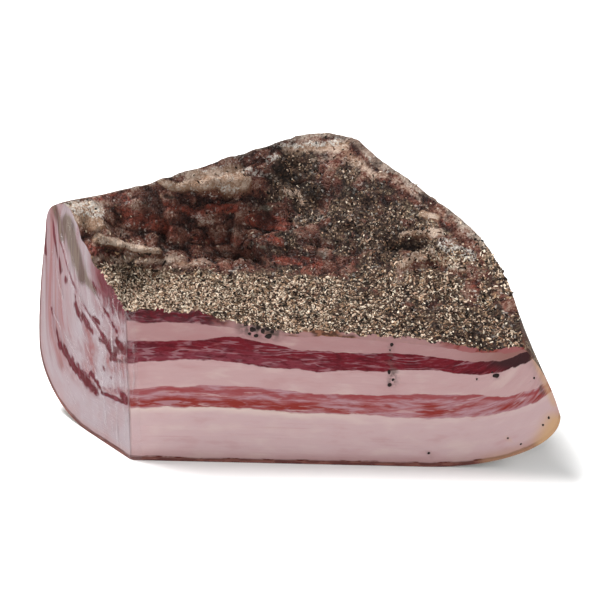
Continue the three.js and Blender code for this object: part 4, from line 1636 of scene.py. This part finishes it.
@dataclass
class Pepper:
    """Cracked pepper spread over the crust as real grains."""

    crust: bpy.types.Object
    pale: PepperFinish = PepperFinish(
        "pale_pepper", shade(122, 99, 84), shade(168, 148, 129), shade(208, 193, 174), shade(164, 128, 106),
        shade(150, 147, 132),
    )
    brown: PepperFinish = PepperFinish(
        "brown_pepper", shade(50, 35, 29), shade(90, 68, 54), shade(138, 112, 88), shade(94, 60, 45),
        shade(80, 77, 66),
    )
    black: PepperFinish = PepperFinish(
        "black_pepper", shade(12, 8, 7), shade(30, 22, 18), shade(68, 56, 46), shade(44, 28, 22),
        shade(38, 37, 31),
    )
    jitter: float = 0.25
    sink: float = 0.15
    lean: float = 0.45
    wall_start: float = 32.0
    wall_size: float = 0.8
    wall_darkness: float = 2.4
    size_power: float = 2.2
    squash: tuple[tuple[float, float], ...] = ((1.0, 2.1), (0.5, 0.95), (0.3, 0.65))

    def kinds(self) -> tuple[PepperKind, ...]:
        """Lists the kinds.

        Returns:
            The kinds, from pale to black.
        """
        return (
            PepperKind("pepper_pale", 9900, 0.5, 1.25, 1.0, 0.07, 101, self.pale),
            PepperKind("pepper_brown", 9000, 0.5, 1.3, 0.8, 0.5, 202, self.brown),
            PepperKind("pepper_black", 9000, 0.5, 1.4, 0.6, 0.6, 303, self.black),
        )

    def wall(self) -> float:
        """Where the wall behind the shelf starts, in the frame."""
        return FORM.to_frame(np.array([0.0, self.wall_start, 0.0]))[1]

    def template(self) -> tuple[Array, Array]:
        """One plain lump.

        Returns:
            Its vertices and faces.
        """
        shape = bmesh.new()
        bmesh.ops.create_icosphere(shape, subdivisions=1, radius=1.0)
        shape.verts.ensure_lookup_table()
        points = np.array([vertex.co[:] for vertex in shape.verts])
        faces = np.array([[vertex.index for vertex in face.verts] for face in shape.faces])
        shape.free()
        return points, faces

    def places(self, kind: PepperKind, draw: np.random.Generator) -> tuple[Array, Array]:
        """Draws places on the crust, thicker where more dust of the kind's tone lies.

        Args:
            kind: The kind of pepper.
            draw: The seeded source of numbers.

        Returns:
            Places in metres, and the crust's direction outward there.
        """
        mesh, count = self.crust.data, kind.count
        faces = mesh.polygons
        centres, normals, areas = read(faces, "center", 3), read(faces, "normal", 3), read(faces, "area")
        corners = read(mesh.loops, "vertex_index", 1, np.int32)[read(faces, "loop_start", 1, np.int32)]
        dust, tint, cavity_shade = (
            read(mesh.attributes[name].data, "value")[corners] for name in ("dust", "tint", "cavity_shade")
        )
        ground = kind.dark_ground + (kind.pale_ground - kind.dark_ground) * tint
        behind = ease((centres[:, 1] - self.wall()) / (8 * MM))
        outside = read(faces, "material_index", 1, np.int32) == Slot.OUTSIDE.value
        weight = areas * outside * (0.015 + dust**1.6) * (1 - 0.45 * behind)
        weight *= ground * (1 - 0.8 * np.clip(cavity_shade, 0, 1))
        chosen = draw.choice(len(faces), size=count, p=weight / weight.sum())
        centres, normals = centres[chosen], normals[chosen]
        scatter = draw.uniform(-0.5, 0.5, (count, 3)) * np.sqrt(areas[chosen])[:, None]
        scatter -= normals * np.sum(scatter * normals, axis=1, keepdims=True)
        return centres + scatter, normals

    def build_kind(self, kind: PepperKind) -> bpy.types.Object:
        """Joins all grains of one kind into one piece.

        Args:
            kind: The kind of pepper.

        Returns:
            The piece.
        """
        draw, count = np.random.default_rng(kind.seed), kind.count
        lump, faces = self.template()
        places, normals = self.places(kind, draw)
        growth = draw.random(count) ** self.size_power
        radii = (kind.smallest + (kind.largest - kind.smallest) * growth) / 2 * MM
        on_wall = places[:, 1] > self.wall()
        radii *= np.where(on_wall, self.wall_size, 1.0)
        squash = np.stack([draw.uniform(*span, count) for span in self.squash], axis=1)
        rough = lump[None] * (1 + self.jitter * draw.uniform(-1, 1, (count, len(lump), 1)))
        up = unit_length(normals + self.lean * draw.normal(size=(count, 3)))
        aside = unit_length(np.cross(up, draw.normal(size=(count, 3))))
        turn = np.stack([aside, np.cross(up, aside), up], axis=1)
        grains = np.einsum("nvi,nij->nvj", rough * squash[:, None, :], turn) * radii[:, None, None]
        grains += (places - normals * (radii * self.sink)[:, None])[:, None, :]
        joined = faces[None] + (np.arange(count) * len(lump))[:, None, None]
        mesh = bpy.data.meshes.new(kind.name)
        mesh.from_pydata(grains.reshape(-1, 3).tolist(), [], joined.reshape(-1, 3).tolist())
        mesh.update()
        tone = draw.random(count) ** np.where(on_wall, self.wall_darkness, 1.0)
        for name, values in (("tone", tone), ("hue", draw.random(count))):
            store(mesh, name, np.repeat(values, len(lump)))
        mesh.materials.append(kind.finish.material())
        return place_piece(kind.name, mesh)

    def build(self) -> list[bpy.types.Object]:
        """Builds every kind."""
        return [self.build_kind(kind) for kind in self.kinds()]


@dataclass(frozen=True)
class Speck:
    """A dark grain pressed into the front cut: its place along and up, and its size."""

    along: float
    up: float
    size: float


@dataclass
class CutSpecks:
    """Pepper that the knife drew down the front cut."""

    specks: tuple[tuple[float, float, float], ...] = (
        (38.9, 52.4, 1.5), (40.9, 50.6, 1.9), (42.8, 51.6, 1.6), (44.4, 50.1, 2.0), (46.0, 50.9, 1.6),
        (47.4, 49.8, 1.5), (42.1, 48.4, 1.6), (40.1, 49.0, 1.1), (46.2, 48.2, 1.7), (86.2, 45.9, 1.3),
        (85.6, 44.0, 0.7), (86.0, 40.3, 0.6), (85.4, 35.8, 1.4), (86.7, 32.9, 0.9), (85.8, 31.0, 1.5),
        (120.2, 35.2, 2.0), (114.0, 33.9, 1.0), (124.9, 11.8, 0.9), (129.3, 9.6, 0.9), (99.1, 5.4, 1.1),
        (132.5, 34.8, 0.9), (137.9, 19.9, 0.9), (136.2, 17.1, 0.7), (119.0, 36.6, 0.9),
    )
    squash: float = 0.35
    finish: PepperFinish = PepperFinish("cut_pepper", shade(20, 14, 13), shade(38, 30, 28), shade(74, 64, 60))

    def build(self) -> bpy.types.Object:
        """Builds all specks as one piece.

        Returns:
            The piece.
        """
        draw = np.random.default_rng(7)
        shape = bmesh.new()
        for speck in itertools.starmap(Speck, self.specks):
            lump = bmesh.ops.create_icosphere(shape, subdivisions=2, radius=speck.size / 2)["verts"]
            for vertex in lump:
                place = np.array([vertex.co[:]]) * 2.2 / speck.size + speck.along
                vertex.co *= 1 + 0.5 * float(smooth_noise(place, 5)[0])
            sizes = (draw.uniform(0.7, 1.2), self.squash, draw.uniform(0.7, 1.2))
            bmesh.ops.scale(shape, vec=sizes, verts=lump)
            bmesh.ops.translate(shape, vec=(speck.along, 0, speck.up), verts=lump)
        mesh = finished(shape, "cut_specks")
        write_points(mesh, FORM.to_frame(read(mesh.vertices, "co", 3)))
        for name, value in (("tone", 0.3), ("hue", 0.5)):
            store(mesh, name, np.full(len(mesh.vertices), value))
        mesh.materials.append(self.finish.material())
        return place_piece("cut_specks", mesh)


@dataclass
class Wrap:
    """Clear wrap drawn over the left cut and a little way round the corner.

    Its creases are marks by distance from the corner and height, with their width and strength.
    """

    strip: float = 3.2
    stand_off: float = 0.28
    thickness: float = 0.05
    relief: float = 0.14
    along_cells: int = 200
    up_cells: int = 130
    random_creases: int = 64
    edge_fade: float = 0.02
    creases: tuple[Mark, ...] = marks(
        (7.4, 49, 6.7, 21.8, 0.9), (9.7, 41, 14.4, 19, 0.7, 0.7), (11.3, 52, 6.7, 46, 0.7),
        (6.7, 21.8, 7.4, 3, 0.8, 0.8), (14.4, 17, 14.4, 4.5, 0.8, 0.7), (42.8, 40, 29, 29, 0.9, 0.7),
        (33, 71, 29, 55, 1.0, 0.8), (29, 55, 19.5, 46, 1.0), (19.5, 46, 9.7, 39, 0.8),
        (18.7, 63, 10.8, 50, 0.7, 0.8), (39.7, 63, 34.5, 47, 1.1, 0.6), (5.6, 58, 1.5, 48, 0.8),
        (23.6, 40, 15.9, 24, 0.8, 0.8), (1.2, 50, 0.2, 16, 0.5, 0.7), (-2.2, 44, -1.4, 22, 0.5, 0.6),
        (4, 36, 2.4, 18, 0.7, 0.8), (26, 62, 24, 44, 1.0, 0.6),
    )

    def all_creases(self) -> list[Mark]:
        """The listed creases, and seeded fine ones that fan out from the corner.

        Returns:
            All creases.
        """
        draw = np.random.default_rng(17)
        creases = list(self.creases)
        for _ in range(self.random_creases):
            near = float(36 * draw.random() ** 1.8)
            top, drop = float(draw.uniform(12, 68)), float(draw.uniform(4, 15))
            lean = float(draw.uniform(-0.25, 0.35) + near * 0.018)
            width, strength = float(draw.uniform(0.25, 0.55)), float(draw.uniform(0.2, 0.75))
            end, foot = max(near - drop * lean, -2.5), max(top - drop, 2.0)
            creases.append(Mark(near, top, end, foot, width, strength))
        return creases

    def build(self) -> bpy.types.Object:
        """Builds the wrap as a thin closed sheet.

        Returns:
            The piece.
        """
        mesh = unit_block((self.along_cells, self.up_cells, 1))
        across, upward, outer = read(mesh.vertices, "co", 3).T
        reach = FORM.section(np.array([FORM.left_cut]))["reach"][0]
        along = -self.strip + (reach + self.strip) * (1 - across)
        share = np.where(along < 0, -along / FORM.stations[0].rim, along / reach)
        bearing = np.where(along < 0, 0.0, FORM.left_cut)
        points = FORM.point(bearing, share, 0.004 + 0.992 * upward)
        turned = ease((along + 0.8) / 1.6)[:, None]
        cut_side = np.radians(FORM.left_cut + 90)
        to_left = np.array([math.cos(cut_side), math.sin(cut_side), 0])
        outward = unit_length((1 - turned) * np.array([0.0, -1.0, 0.0]) + turned * to_left)
        out, up = np.where(along < 0, along, np.hypot(points[:, 0], points[:, 1])), points[:, 2]
        crease, crease_shadow, lift = self.crease_marks(out, up)
        edges = ease(upward / self.edge_fade) * ease((1 - upward) / self.edge_fade)
        edges = edges * ease(across / self.edge_fade)
        stand_off = self.stand_off * (0.3 + 0.7 * edges) + lift * edges + outer * self.thickness
        points += outward * stand_off[:, None]
        write_points(mesh, FORM.to_frame(points))
        for name, values in (
            ("crease", crease), ("crease_shadow", crease_shadow), ("lean", strongest(LEFT_LEAN, out, up)),
            ("strip", ease((2.0 - along) / 2.0)),
            ("grain", np.stack([out, np.zeros_like(out), up], axis=1)),
        ):
            store(mesh, name, values)
        smoothed(mesh)
        mesh.materials.append(WrapFinish().material())
        return place_piece("wrap", mesh)

    def crease_marks(self, along: Array, up: Array) -> tuple[Array, Array, Array]:
        """How creased the wrap is over each place.

        Args:
            along: Distance from the corner.
            up: Height.

        Returns:
            The bright ridges of the creases, painted as highlights, the strips beside them, painted as
            shadow, and how far they stand up.
        """
        crest_highlight, crease_shadow = np.zeros_like(along), np.zeros_like(along)
        bend = np.stack([along, up, np.zeros_like(up)], axis=1)
        shift = 2.2 * octaves(bend, 16, 3, 61)
        for crease in self.all_creases():
            # Painted highlight on each crease, painted shadow on one side of it.
            for target, aside in ((crest_highlight, 0.0), (crease_shadow, crease.spread * 0.85)):
                distance = crease.distance(along + shift + aside, up)
                near = np.exp(-((distance / (crease.spread * 0.5)) ** 2)) * crease.height
                np.maximum(target, near, out=target)
        slack = 0.12 * octaves(bend * np.array([1, 0.35, 1]), 5, 3, 67)
        return crest_highlight, crease_shadow, crest_highlight * self.relief + slack


@dataclass
class Studio:
    """Floor, lights and camera as in the photo."""

    distance: float = 850.0
    pixels_per_mm: float = 3.0
    picture: float = 600.0
    corner_pixel: tuple[float, float] = (131.0, 460.0)
    sky: float = 0.22
    sensor: float = 36.0
    lamps: tuple[tuple[str, tuple[float, float, float], float, float], ...] = (
        ("top", (-0.3, 0.14, 0.78), 0.3, 14.0),
        ("front", (-0.3, -0.95, 0.36), 0.5, 6.6),
        ("right", (0.8, -0.15, 0.6), 0.4, 3.0),
        ("left", (-0.8, -0.35, 0.45), 0.5, 0.9),
    )

    def camera(self) -> None:
        """Sets the camera so that the corner's foot falls on its pixel."""
        right = Vector((math.cos(VIEW_TURN), math.sin(VIEW_TURN), 0))
        level = Vector((-math.sin(VIEW_TURN), math.cos(VIEW_TURN), 0))
        ahead = level * math.cos(VIEW_TILT) - Vector((0, 0, math.sin(VIEW_TILT)))
        up = right.cross(ahead)
        half = self.picture / 2
        aside = right * (half - self.corner_pixel[0]) + up * (self.corner_pixel[1] - half)
        eye = aside / self.pixels_per_mm - ahead * self.distance
        data = bpy.data.cameras.new("camera")
        data.sensor_width = self.sensor
        data.lens = self.sensor * self.distance * self.pixels_per_mm / self.picture
        data.clip_start, data.clip_end = 0.05, 20.0
        camera = linked("camera", data)
        place = Vector(FORM.to_frame(np.array(eye[:])).tolist())
        camera.matrix_world = Matrix.Translation(place) @ Matrix((right, up, -ahead)).transposed().to_4x4()
        bpy.context.scene.camera = camera

    def lamp(self, name: str, place: tuple[float, float, float], size: float, power: float) -> None:
        """Adds a soft square light that looks at the block.

        Args:
            name: The light's name.
            place: Where it stands, in metres.
            size: Its width in metres.
            power: Its power in watts.
        """
        data = bpy.data.lights.new(name, "AREA")
        data.size, data.energy = size, power
        lamp = linked(name, data)
        lamp.location = place
        lamp.rotation_euler = (Vector((0, 0, 0.04)) - Vector(place)).to_track_quat("-Z", "Y").to_euler()

    def floor(self) -> None:
        """Lays a pale floor under the block."""
        shape = bmesh.new()
        bmesh.ops.create_grid(shape, x_segments=8, y_segments=8, size=3.0)
        mesh = finished(shape, "floor")
        recipe = Recipe("pale_floor")
        tone = recipe.blend(recipe.noise(400, 2), shade(240, 240, 240), shade(244, 244, 243))
        mesh.materials.append(recipe.dress(tone, 0.9, Specular_IOR_Level=0.1))
        floor = linked("floor", mesh)

    def build(self) -> None:
        """Sets up everything round the block."""
        scene = bpy.context.scene
        scene.view_settings.view_transform = "Standard"
        scene.world = bpy.data.worlds.new("studio")
        scene.world.use_nodes = True
        background = scene.world.node_tree.nodes["Background"]
        background.inputs["Color"].default_value = (1, 1, 1, 1)
        background.inputs["Strength"].default_value = self.sky
        for lamp in self.lamps:
            self.lamp(*lamp)
        self.floor()
        self.camera()


def main() -> None:
    """Builds the block from the rind up, then the studio round it."""
    logging.basicConfig(level=logging.INFO, format="%(message)s")
    cut, edge, rind = CutFlesh().material(), DriedEdge().material(), RindSkin().material()
    names = (
        ("bottom_fat_and_rind", "rind_fat", "fat_with_rind"), ("lower_lean", "lean_lower", "streaky_lean"),
        ("middle_fat", "fat_middle", "fat"), ("upper_lean", "lean_upper", "dark_lean"),
        ("upper_fat", "fat_upper", "fat"),
    )
    for index, (name, node, slot) in enumerate(names):
        Layer(name, node, slot, index, rind, cut, edge).build()
    top = CrustFinish().material()
    crust = Crust("crust", "peppered_top", "pepper_crust", len(names), top, cut, edge).build()
    Pepper(crust).build()
    CutSpecks().build()
    Wrap().build()
    Studio().build()


if __name__ == "__main__":
    main()
